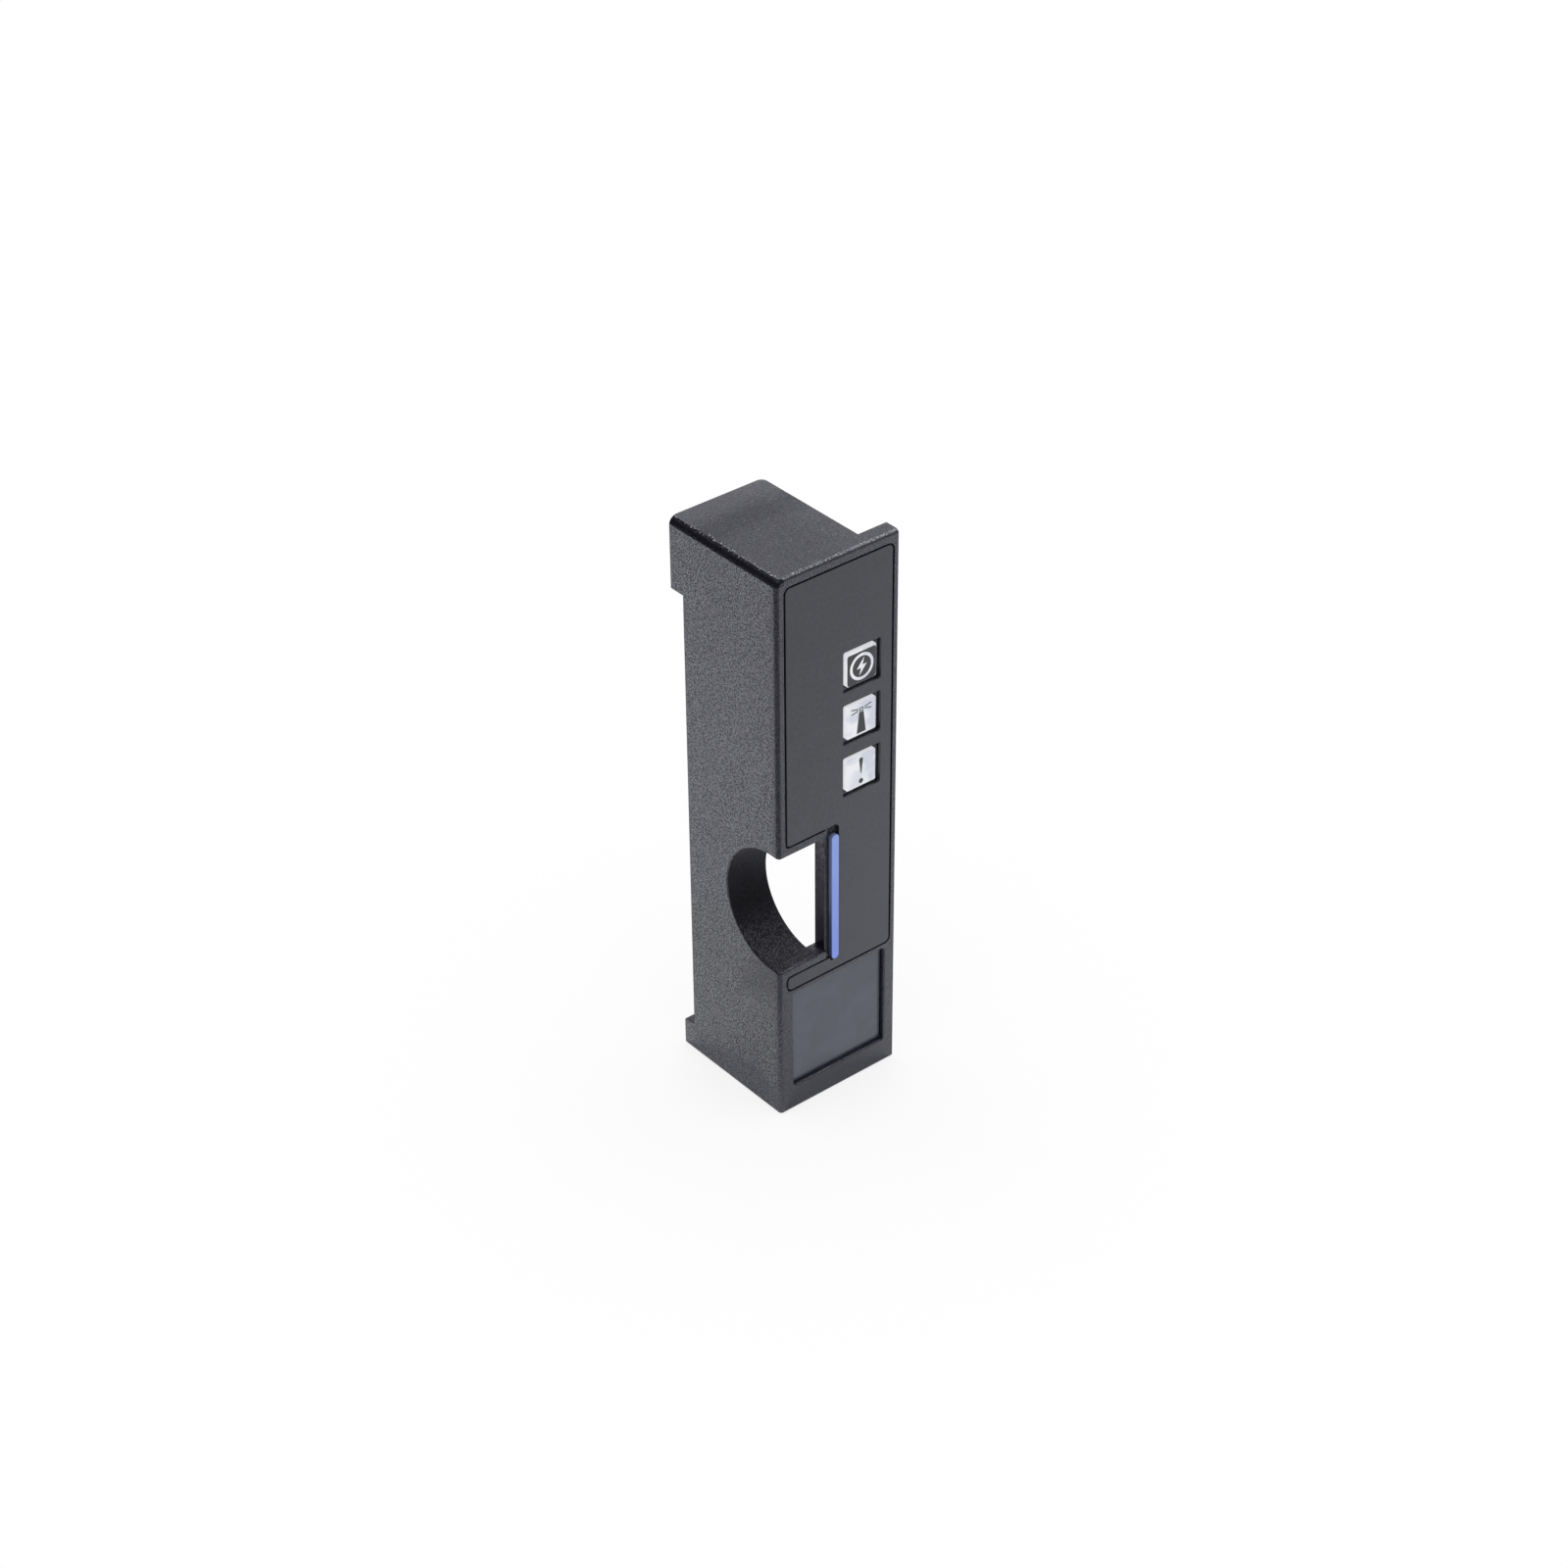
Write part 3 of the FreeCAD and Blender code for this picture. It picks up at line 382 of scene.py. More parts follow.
@dataclass(frozen=True)
class GrainedPlastic(Finish):
    """Black moulding with a spark-eroded skin outside and a plainer one inside."""

    dark: Colour = (0.0050, 0.0050, 0.0080)
    light: Colour = (0.0110, 0.0110, 0.0165)
    sheen: Colour = (0.86, 0.87, 1.0)
    density: float = 1.60
    roughness: float = 0.23
    blend: float = 0.03
    # Grain of pebbles, creases and pores, with a glossy skin on its tops.
    pebble_size: float = 0.25
    pebble_blend: float = 0.7
    pebble_share: float = 0.45
    creases: Clouds = Clouds(0.17, 1.0, 1.2)
    crease_share: float = 0.45
    pores: Clouds = Clouds(0.075, 1.0)
    pore_share: float = 0.2
    grain_depth: float = 0.20
    pits: Point = (0.51, 0.65)
    skin_density: float = 1.70
    skin_roughness: float = 0.17
    skin_clouds: Clouds = Clouds(9.0, 2.0, 0.3, (7.0, 1.0, 5.0))
    skin_swing: float = 0.35
    # Uneven tone and wear, with the glossy level also painted into the tone: lighter grain tops as
    # painted highlight, darker pits as painted shade.
    patches: Clouds = Clouds(6.0, 3.0)
    patch_share: float = 0.4
    painted_shine_share: float = 0.6
    wear: Clouds = Clouds(2.5, 2.0, shift=(1.0, 8.0, 2.0))
    wear_swing: float = 0.06
    # Dust on all faces, and painted glints along the crown.
    dust: Colour = (0.30, 0.30, 0.31)
    loose_dust: Specks = Specks(1.7, 0.06, 0.16)
    crown_dust: Specks = Specks(0.7, 0.08, 0.30)
    glint: Colour = (0.54, 0.54, 0.56)
    glints: Specks = Specks(0.30, 0.11, 0.55)
    glint_gaps: Clouds = Clouds(0.075, 1.0, shift=(3.0, 9.0, 4.0))
    glint_range: Point = (0.36, 0.56)
    crown_start: Point = (86.72, 86.82)
    crown_end: Point = (86.985, 86.998)
    # Cavity that the enclosure fills.
    cavity_left: float = -8.45
    cavity_front: float = FRONT + 2.46
    cavity_floor: float = 1.95
    cavity_roof: float = 85.05
    inner_grain: float = 0.3
    inner_skin: float = 0.4
    inner_roughness: float = 0.42
    # Painted shade in the hollows: the lining of the finger tunnel and the nook above the touch
    # strip are rougher, lose their glossy skin and are painted as shade, darkest at half height,
    # with painted glints on the grain tops.
    tunnel_axis: Point = (FRONT + 1.55, 34.17)
    tunnel_radius: float = 9.5
    tunnel_end: float = -3.55
    nook_left: Point = (STRIP_LOW.x - 0.5, STRIP_LOW.x - 0.2)
    nook_right: Point = (STRIP_HIGH.x + 0.2, STRIP_HIGH.x + 0.4)
    nook_front: Point = (FRONT + 0.10, FRONT + 0.20)
    nook_rear: Point = (FRONT + 0.8, FRONT + 0.9)
    nook_foot: Point = (STRIP_HIGH.z - 0.7, STRIP_HIGH.z - 0.3)
    nook_roof: Point = (STRIP_HIGH.z + 2.4, STRIP_HIGH.z + 2.6)
    grip_dark: Colour = (0.0012, 0.0012, 0.0018)
    grip_glint: Colour = (0.072, 0.070, 0.078)
    grip_pits: Point = (0.54, 0.68)
    grip_roughness: float = 0.58
    grip_shade: float = 0.85
    grip_span: Point = (14.0, 62.0)
    # Edge of the front plate in the cut-out: its glossy skin is taken off as painted shade and its
    # grain is calmed, most at its foot.
    return_side: Point = (-2.4, -2.2)
    return_end: Point = (-1.9, -1.7)
    return_front: Point = (FRONT + 0.10, FRONT + 0.30)
    return_foot: Point = (24.0, 24.6)
    return_span: Point = (25.5, 40.0)
    return_shade: float = 0.95
    return_flat: float = 0.85
    # Top face, calmer than the walls, with painted reflection: a darker band across it and a
    # brighter rear and right side.
    crown: Point = (86.70, 86.95)
    calm: float = 0.45
    calm_level: float = 0.5
    dark_band_line: float = 4.3
    dark_band_reach: float = 4.4
    dark_band_shade: float = 0.30
    rear_reach: float = 6.6
    rear_shine: float = 0.36
    side_span: Point = (-1.0, 5.0)
    side_shine: float = 0.20
    # Round between the left wall and the top face, painted darker as the dark band of its
    # reflection, with calmer grain.
    corner_side: Point = (-9.3, -9.0)
    corner_start: Point = (85.85, 86.10)
    corner_end: Point = (86.78, 86.90)
    corner_shade: float = 0.8
    corner_flat: float = 0.65
    # Rim around the overlay, with calmer grain and painted darker as shade, and the front edge of
    # the left wall, painted darker as shade.
    rim_depth: Point = (FRONT + 0.02, FRONT + 0.30)
    rim_calm: float = 0.65
    rim_shade_level: float = 0.13
    edge_side: Point = (-10.38, -10.20)
    edge_depth: Point = (FRONT + 0.6, FRONT + 1.7)
    edge_shade: float = 0.35

    def about(self, at: float) -> Point:
        """Return the short span over which a mask changes at a place."""
        return at - self.blend, at + self.blend

    def hidden(self, tree: SurfaceTree) -> tuple[Signal, Signal]:
        """Return a mask of the faces that the enclosure hides and one of the tunnel lining and the
        nook, which are dull and painted as shade.

        Args:
            tree: tree of the material.

        Returns:
            The two masks.
        """
        x, y, z = tree.axes
        deep = (
            tree.rise(x, *self.about(self.cavity_left))
            * tree.rise(y, *self.about(self.cavity_front))
            * tree.band(z, self.about(self.cavity_floor), self.about(self.cavity_roof))
        )
        depth, height = self.tunnel_axis
        reach = ((y - depth) ** 2.0 + (z - height) ** 2.0) ** 0.5
        lining = (
            (1.0 - tree.rise(reach, self.tunnel_radius, self.tunnel_radius + self.blend))
            * (1.0 - tree.rise(x, self.tunnel_end, self.tunnel_end + self.blend))
        )
        nook = (
            tree.band(x, self.nook_left, self.nook_right)
            * tree.band(y, self.nook_front, self.nook_rear)
            * tree.band(z, self.nook_foot, self.nook_roof)
        )
        return deep * (1.0 - lining), lining.greatest(nook)

    def grip_shade_and_glints(self, tree: SurfaceTree, relief: Signal) -> Signal:
        """Return the colour of the tunnel lining and the nook as painted shade, darkest at half
        height, with painted glints on the grain tops.

        Args:
            tree: tree of the material.
            relief: height of the grain.

        Returns:
            The colour.
        """
        _, _, z = tree.axes
        dim = self.grip_shade * (1.0 - tree.rise((z - self.tunnel_axis[1]) ** 2.0, *self.grip_span))
        tops = tree.rise(relief, *self.grip_pits) * (1.0 - dim)
        return tree.mix(tops, self.grip_dark, self.grip_glint)

    def return_wall(self, tree: SurfaceTree) -> Signal:
        """Return a mask of painted shade on the plate's edge in the cut-out, strongest at its foot.

        Args:
            tree: tree of the material.

        Returns:
            The mask.
        """
        x, y, z = tree.axes
        return (
            tree.band(x, self.return_side, self.return_end)
            * tree.rise(y, *self.return_front)
            * tree.band(z, self.return_foot, self.return_span)
        )

    def corner(self, tree: SurfaceTree) -> Signal:
        """Return a mask of the round between the left wall and the top face.

        Args:
            tree: tree of the material.

        Returns:
            The mask.
        """
        x, _, z = tree.axes
        left = 1.0 - tree.rise(x, *self.corner_side)
        return left * tree.band(z, self.corner_start, self.corner_end)

    def shine(self, tree: SurfaceTree, tops: Signal) -> Signal:
        """Return the level of the glossy skin, evened on the top face and on the front rim, with
        painted reflection and shade: a darker band across the top face, a brighter rear and right
        side, and a darker rim, corner round and front edge of the left wall.

        Args:
            tree: tree of the material.
            tops: mask of the tops of the grain.

        Returns:
            The level, from 0 to 1.
        """
        x, y, z = tree.axes
        # A darker band across the top face and a brighter rear and right side are painted
        # reflection.
        line, reach = self.dark_band_line, self.dark_band_reach
        sink = tree.band(y, (line - reach, line), (line, line + reach))
        rear = tree.rise(y, line, line + self.rear_reach)
        drift = (
            rear * self.rear_shine
            + tree.rise(x, *self.side_span) * self.side_shine
            - sink * self.dark_band_shade
        )
        top = tree.rise(z, *self.crown)
        # The rim round the overlay is evened and painted darker as shade.
        rim = 1.0 - tree.rise(y, *self.rim_depth)
        level = (
            tops
            + top * (self.calm * (self.calm_level - tops) + drift)
            + (1.0 - top) * rim * self.rim_calm * (self.rim_shade_level - tops)
        )
        cloud = tree.noise(self.skin_clouds) - NOISE_MEAN
        edge = (1.0 - tree.rise(x, *self.edge_side)) * (1.0 - tree.rise(y, *self.edge_depth))
        # The corner round and the front edge of the left wall are painted darker as shade.
        dull = (1.0 - self.corner(tree) * self.corner_shade) * (1.0 - edge * self.edge_shade)
        return level * (1.0 + cloud * self.skin_swing) * dull

    def dust_and_glints(self, tree: SurfaceTree, plain: Signal) -> Signal:
        """Return a colour under pale dust specks and painted glints along the crown.

        Args:
            tree: tree of the material.
            plain: colour of the clean plastic.

        Returns:
            The colour with the specks.
        """
        _, _, z = tree.axes
        crown = tree.rise(z, *self.crown_start)
        edge = crown * (1.0 - tree.rise(z, *self.crown_end))
        loose = tree.specks(self.loose_dust).greatest(tree.specks(self.crown_dust) * crown)
        broken = tree.rise(tree.noise(self.glint_gaps), *self.glint_range)
        specked = tree.mix(loose, plain, self.dust)
        return tree.mix(tree.specks(self.glints) * broken * edge, specked, self.glint)

    def paint(self, tree: SurfaceTree) -> bpy.types.Material:
        """Build leathery grain with glossy tops and dull pits, tone and dust, with painted
        highlight and shade in the tone, painted shade in the hollows and painted glints along the
        crown.

        Args:
            tree: tree of the material, still empty.

        Returns:
            The material.
        """
        # The tunnel lining and the nook are painted as shade: no glossy skin and a dark colour,
        # with painted glints on the grain tops.
        inside, shaded_grip = self.hidden(tree)
        relief = (
            self.pebble_share * (1.0 - tree.pebbles(self.pebble_size, self.pebble_blend))
            + self.crease_share * tree.noise(self.creases)
            + self.pore_share * tree.noise(self.pores)
        )
        # The plate's edge in the cut-out loses its glossy skin as painted shade.
        shaded = self.return_wall(tree)
        height = (
            relief
            * (1.0 - inside * (1.0 - self.inner_grain))
            * (1.0 - self.corner(tree) * self.corner_flat)
            * (1.0 - shaded * self.return_flat)
        )
        level = self.shine(tree, tree.rise(relief, *self.pits))
        skin = (
            level
            * (1.0 - inside * (1.0 - self.inner_skin))
            * (1.0 - shaded_grip)
            * (1.0 - shaded * self.return_shade)
        )
        # The glossy level, with its painted reflection and shade, also lightens and darkens the
        # tone as painted highlight and shade.
        patches = tree.noise(self.patches) * self.patch_share + level * self.painted_shine_share
        tone = tree.mix(patches, self.dark, self.light)
        rough = (
            self.roughness
            + inside * (self.inner_roughness - self.roughness)
            + shaded_grip * (self.grip_roughness - self.roughness)
            + tree.noise(self.wear) * self.wear_swing
        )
        return tree.finish(
            Base_Color=self.dust_and_glints(tree, tree.mix(shaded_grip, tone, self.grip_shade_and_glints(tree, relief))),
            Roughness=rough,
            IOR=self.density,
            Specular_Tint=self.sheen,
            Coat_Weight=skin,
            Coat_Roughness=self.skin_roughness,
            Coat_IOR=self.skin_density,
            Normal=tree.bump(height, self.grain_depth),
        )


@dataclass(frozen=True)
class MattSheet(Finish):
    """Smooth dark grey overlay with a fine stipple, a faint haze and a painted reflection that
    lightens it towards the bottom.
    """

    dark: Colour = (0.0100, 0.0106, 0.0140)
    light: Colour = (0.0240, 0.0265, 0.0310)
    sheen: Colour = (0.91, 0.95, 1.0)
    density: float = 1.65
    roughness: float = 0.25
    haze: Clouds = Clouds(9.0, 3.0, 0.4)
    haze_range: Point = (0.35, 0.7)
    haze_share: float = 0.3
    haze_swing: float = 0.06
    # A painted reflection lightens the sheet towards the bottom.
    foot_light_span: Point = (84.0, 26.0)
    foot_light_share: float = 0.8
    mottle: Clouds = Clouds(0.5, 4.0, shift=(6.0, 4.0, 3.0))
    mottle_share: float = 2.0
    rub: Clouds = Clouds(1.6, 4.0, shift=(4.0, 2.0, 9.0))
    rub_swing: float = 0.06
    stipple: Clouds = Clouds(0.16, 1.0)
    stipple_depth: float = 0.006

    def paint(self, tree: SurfaceTree) -> bpy.types.Material:
        """Build the haze, the mottle, the stipple, light rubbing and a painted reflection that
        lightens the sheet towards the bottom.

        Args:
            tree: tree of the material, still empty.

        Returns:
            The material.
        """
        _, _, z = tree.axes
        haze = tree.noise(self.haze)
        veil_and_light = (
            tree.rise(haze, *self.haze_range) * self.haze_share
            + tree.rise(z, *self.foot_light_span) * self.foot_light_share
            + (tree.noise(self.mottle) - NOISE_MEAN) * self.mottle_share
        )
        rub = tree.noise(self.rub) * self.rub_swing
        return tree.finish(
            Base_Color=tree.mix(veil_and_light, self.dark, self.light),
            Roughness=self.roughness + haze * self.haze_swing + rub,
            IOR=self.density,
            Specular_Tint=self.sheen,
            Normal=tree.bump(tree.noise(self.stipple), self.stipple_depth),
        )


@dataclass(frozen=True)
class TouchBlue(Finish):
    """Periwinkle face of the touch strip, with shaded flanks and small nicks."""

    low: Colour = (0.235, 0.318, 0.830)
    high: Colour = (0.262, 0.376, 0.850)
    flank_low: Colour = (0.065, 0.078, 0.150)
    flank_high: Colour = (0.165, 0.180, 0.310)
    nick: Colour = (0.03, 0.035, 0.07)
    face_depth: float = FRONT - 0.185
    flank_depth: float = FRONT - 0.10
    span: Point = (22.0, 45.0)
    flank_span: Point = (27.0, 35.0)
    roughness: float = 0.40
    cloud: Clouds = Clouds(1.2, 3.0)
    cloud_share: float = 0.25
    cloud_swing: float = 0.1
    nicks: Specks = Specks(2.6, 0.16, 0.12)
    nick_edges: Clouds = Clouds(0.1)
    nick_range: Point = (0.42, 0.55)
    texture: Clouds = Clouds(0.12, 1.0)
    texture_depth: float = 0.003

    def paint(self, tree: SurfaceTree) -> bpy.types.Material:
        """Build the face colour, the flanks and the nicks.

        Args:
            tree: tree of the material, still empty.

        Returns:
            The material.
        """
        _, y, z = tree.axes
        cloud = tree.noise(self.cloud) - NOISE_MEAN
        face = tree.mix(
            tree.rise(z, *self.span) + cloud * self.cloud_share, self.low, self.high)
        ragged = tree.rise(tree.noise(self.nick_edges), *self.nick_range)
        worn = tree.mix(tree.specks(self.nicks) * ragged, face, self.nick)
        flank = tree.mix(tree.rise(z, *self.flank_span), self.flank_low, self.flank_high)
        return tree.finish(
            Base_Color=tree.mix(tree.rise(y, self.face_depth, self.flank_depth), worn, flank),
            Roughness=self.roughness + cloud * self.cloud_swing,
            Normal=tree.bump(tree.noise(self.texture), self.texture_depth),
        )


@dataclass(frozen=True)
class SmokedPane(Finish):
    """Satin smoked pane with a faint haze."""

    dark: Colour = (0.058, 0.065, 0.090)
    light: Colour = (0.071, 0.079, 0.107)
    density: float = 1.58
    roughness: float = 0.12
    haze: Clouds = Clouds(5.0, 3.0, 0.6)
    haze_range: Point = (0.3, 0.7)
    haze_swing: float = 0.05
    wipe: Clouds = Clouds(0.7, 3.0, shift=(3.0, 1.0, 6.0))
    wipe_swing: float = 0.05
    satin: Clouds = Clouds(0.25, 1.0)
    satin_depth: float = 0.0015

    def paint(self, tree: SurfaceTree) -> bpy.types.Material:
        """Build the haze and the satin.

        Args:
            tree: tree of the material, still empty.

        Returns:
            The material.
        """
        haze = tree.noise(self.haze)
        wipe = tree.noise(self.wipe) * self.wipe_swing
        return tree.finish(
            Base_Color=tree.mix(tree.rise(haze, *self.haze_range), self.dark, self.light),
            Roughness=self.roughness + haze * self.haze_swing + wipe,
            IOR=self.density,
            Normal=tree.bump(tree.noise(self.satin), self.satin_depth),
        )


@dataclass(frozen=True)
class PlainPlastic(Finish):
    """Plain black moulding of the holder."""

    dark: Colour = (0.012, 0.012, 0.012)
    light: Colour = (0.020, 0.020, 0.021)
    roughness: float = 0.42
    tone: Clouds = Clouds(3.0, 3.0)
    tone_swing: float = 0.08
    texture: Clouds = Clouds(0.22, 2.0)
    texture_depth: float = 0.012

    def paint(self, tree: SurfaceTree) -> bpy.types.Material:
        """Build a fine, shallow tool texture.

        Args:
            tree: tree of the material, still empty.

        Returns:
            The material.
        """
        tone = tree.noise(self.tone)
        return tree.finish(
            Base_Color=tree.mix(tone, self.dark, self.light),
            Roughness=self.roughness + tone * self.tone_swing,
            Normal=tree.bump(tree.noise(self.texture), self.texture_depth),
        )


@dataclass(frozen=True)
class ClearPlastic(Finish):
    """Clear pipe that looks milky white, with a painted glow on its face and sides for the light it
    gathers, and painted light and shade in clouds, greyer to the right of its face.
    """

    white: Colour = (0.84, 0.84, 0.85)
    shade: Colour = (0.55, 0.58, 0.66)
    # The face and side glow are painted light: the pipe glows though no lamp lights it.
    face_glow: Colour = (0.13, 0.13, 0.135)
    side_glow: Colour = (0.60, 0.60, 0.62)
    dull: Colour = (0.0, 0.0, 0.0)
    face_depth: float = FRONT + 0.14
    side_depth: float = FRONT + 0.21
    lit_depth: float = FRONT + 0.9
    unlit_depth: float = FRONT + 2.2
    cloud: Clouds = Clouds(3.2, 1.0, 0.5)
    cloud_share: float = 0.88
    cloud_range: Point = (0.45, 0.72)
    smear: Clouds = Clouds(0.5, 3.0, 0.5, (2.0, 5.0, 1.0))
    smear_share: float = 0.12
    smear_swing: float = 0.08
    side_span: Point = (PIPE_MIDDLE - 0.2, PIPE_MIDDLE + 2.2)
    side_share: float = 0.14
    ripple: Clouds = Clouds(0.4, 1.0)
    ripple_depth: float = 0.002
    rod_calm: float = 0.6
    density: float = 1.55
    roughness: float = 0.16

    def paint(self, tree: SurfaceTree) -> bpy.types.Material:
        """Build painted clouds of light and shade inside the pipe, greyer to the right of the face,
        and the painted glow of its face and sides, which fades along the rod.

        Args:
            tree: tree of the material, still empty.

        Returns:
            The material.
        """
        x, y, _ = tree.axes
        smear = tree.noise(self.smear)
        cloud = (
            tree.noise(self.cloud) * self.cloud_share
            + smear * self.smear_share
            + tree.rise(x, *self.side_span) * self.side_share
        )
        rod = tree.rise(y, self.lit_depth, self.unlit_depth)
        shaded = tree.rise(cloud, *self.cloud_range) * (1.0 - rod * self.rod_calm)
        front = tree.mix(
            tree.rise(y, self.face_depth, self.side_depth), self.face_glow, self.side_glow)
        return tree.finish(
            Base_Color=tree.mix(shaded, self.white, self.shade),
            Roughness=self.roughness + smear * self.smear_swing,
            IOR=self.density,
            Emission_Color=tree.mix(rod, front, self.dull),
            Emission_Strength=1.0,
            Normal=tree.bump(tree.noise(self.ripple), self.ripple_depth),
        )


@dataclass(frozen=True)
class PrintedInk(Finish):
    """Dark grey print on the faces of the light pipes."""

    dark: Colour = (0.022, 0.022, 0.023)
    light: Colour = (0.045, 0.044, 0.045)
    roughness: float = 0.38
    cover: Clouds = Clouds(0.35, 3.0)
    cover_swing: float = 0.12
    cover_depth: float = 0.002

    def paint(self, tree: SurfaceTree) -> bpy.types.Material:
        """Build slightly uneven ink.

        Args:
            tree: tree of the material, still empty.

        Returns:
            The material.
        """
        cover = tree.noise(self.cover)
        return tree.finish(
            Base_Color=tree.mix(cover, self.dark, self.light),
            Roughness=self.roughness + cover * self.cover_swing,
            Normal=tree.bump(cover, self.cover_depth),
        )


def linked(name: str, mesh: bpy.types.Mesh) -> bpy.types.Object:
    """Put a mesh into the scene as an object at the origin.

    Args:
        name: name of the new object.
        mesh: its mesh.

    Returns:
        The object.
    """
    piece = bpy.data.objects.new(name, mesh)
    bpy.context.scene.collection.objects.link(piece)
    return piece


def meshed(name: str, work: bmesh.types.BMesh) -> bpy.types.Object:
    """Turn a working mesh into an object at the origin and free it.

    Args:
        name: name of the new object.
        work: the working mesh.

    Returns:
        The object.
    """
    mesh = bpy.data.meshes.new(name)
    work.to_mesh(mesh)
    work.free()
    return linked(name, mesh)


def baked(piece: bpy.types.Object) -> bpy.types.Object:
    """Turn an object with modifiers into one with a plain mesh.

    Args:
        piece: the object, already in the scene.

    Returns:
        The same object, without modifiers.
    """
    bpy.context.view_layer.update()
    graph = bpy.context.evaluated_depsgraph_get()
    mesh = bpy.data.meshes.new_from_object(
        piece.evaluated_get(graph), preserve_all_data_layers=True, depsgraph=graph)
    piece.modifiers.clear()
    old = piece.data
    piece.data = mesh
    bpy.data.meshes.remove(old)
    mesh.name = piece.name
    return piece


def seat(piece: bpy.types.Object, finish: Finish, slot: Slot, nodes: Iterable[str] = ()) -> None:
    """Dress a piece and tie it to the frame.

    Args:
        piece: the finished object.
        finish: the finish that it gets.
        slot: the record's slot that the finish belongs to.
        nodes: nodes of the frame that the piece stands for.
    """
    piece.data.materials.clear()
    piece.data.materials.append(finish.material())
    for node in nodes:
        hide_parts(node)
    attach(piece, BODY)
    LOG.info("%s: %d faces, %s", piece.name, len(piece.data.polygons), slot.value)


class ShapeTree(Tree):
    """A Geometry Nodes tree with named inputs."""

    def __init__(self, name: str) -> None:
        """Make an empty tree with its group input.

        Args:
            name: name of the tree.
        """
        self.group = bpy.data.node_groups.new(name, "GeometryNodeTree")
        super().__init__(self.group)
        self.inputs: dict[str, str] = {}
        self.entry = self.group.nodes.new("NodeGroupInput")

    def take(self, name: str, kind: str) -> Signal:
        """Add a named input of a socket type and return it.

        Args:
            name: name of the input.
            kind: Blender's name for the type of socket.

        Returns:
            The input as the tree reads it.
        """
        item = self.group.interface.new_socket(name=name, in_out="INPUT", socket_type=kind)
        self.inputs[name] = item.identifier
        return Signal(self, self.entry.outputs[name])

    def close(self, shape: Signal, material: bpy.types.Material) -> None:
        """Realize the instances, set the material and add the output.

        Args:
            shape: the instances.
            material: material of all of them.
        """
        self.group.interface.new_socket(
            name="Geometry", in_out="OUTPUT", socket_type="NodeSocketGeometry")
        solid = self.node("GeometryNodeRealizeInstances", None, {"Geometry": shape})
        dressed = self.node(
            "GeometryNodeSetMaterial", None, {"Geometry": solid, "Material": material})
        self.node("NodeGroupOutput", None, {"Geometry": dressed})

    def make(self, name: str, values: Mapping[str, Any]) -> bpy.types.Object:
        """Evaluate the tree into an object with a plain mesh.

        Args:
            name: name of the new object.
            values: a value for each named input.

        Returns:
            The object, at the origin and without modifiers.
        """
        piece = linked(name, bpy.data.meshes.new(name))
        modifier = piece.modifiers.new("shape", "NODES")
        modifier.node_group = self.group
        for key, value in values.items():
            modifier[self.inputs[key]] = value
        return baked(piece)


@dataclass
class MouldedPiece:
    """A solid of the frame with fine rounds on the edges that it leaves sharp."""

    name: str
    node: str
    slot: Slot
    finish: Finish
    edge: float
    steps: int = 2
    merge_reach: float = 0.0001
    sharp_angle: float = 50.0
    flat_angle: float = 0.05

    def build(self) -> None:
        """Copy the solid, round its edges, keep them in its box and dress it."""
        work = bmesh.new()
        work.from_mesh(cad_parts[self.node].data)
        bmesh.ops.remove_doubles(work, verts=work.verts, dist=self.merge_reach * MM)
        bmesh.ops.dissolve_limit(
            work, angle_limit=math.radians(self.flat_angle), verts=work.verts, edges=work.edges)
        for face in work.faces:
            face.smooth = True
        piece = meshed(self.name, work)
        rounds = piece.modifiers.new("edge_rounds", "BEVEL")
        rounds.width = self.edge * MM
        rounds.segments = self.steps
        rounds.limit_method = "ANGLE"
        rounds.angle_limit = math.radians(self.sharp_angle)
        rounds.use_clamp_overlap = False
        weights = piece.modifiers.new("face_weights", "WEIGHTED_NORMAL")
        weights.keep_sharp = True
        baked(piece)
        low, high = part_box(self.node)
        for vertex in piece.data.vertices:
            vertex.co = [min(max(at, floor), roof) for at, floor, roof in zip(vertex.co, low, high)]
        seat(piece, self.finish, self.slot, [self.node])


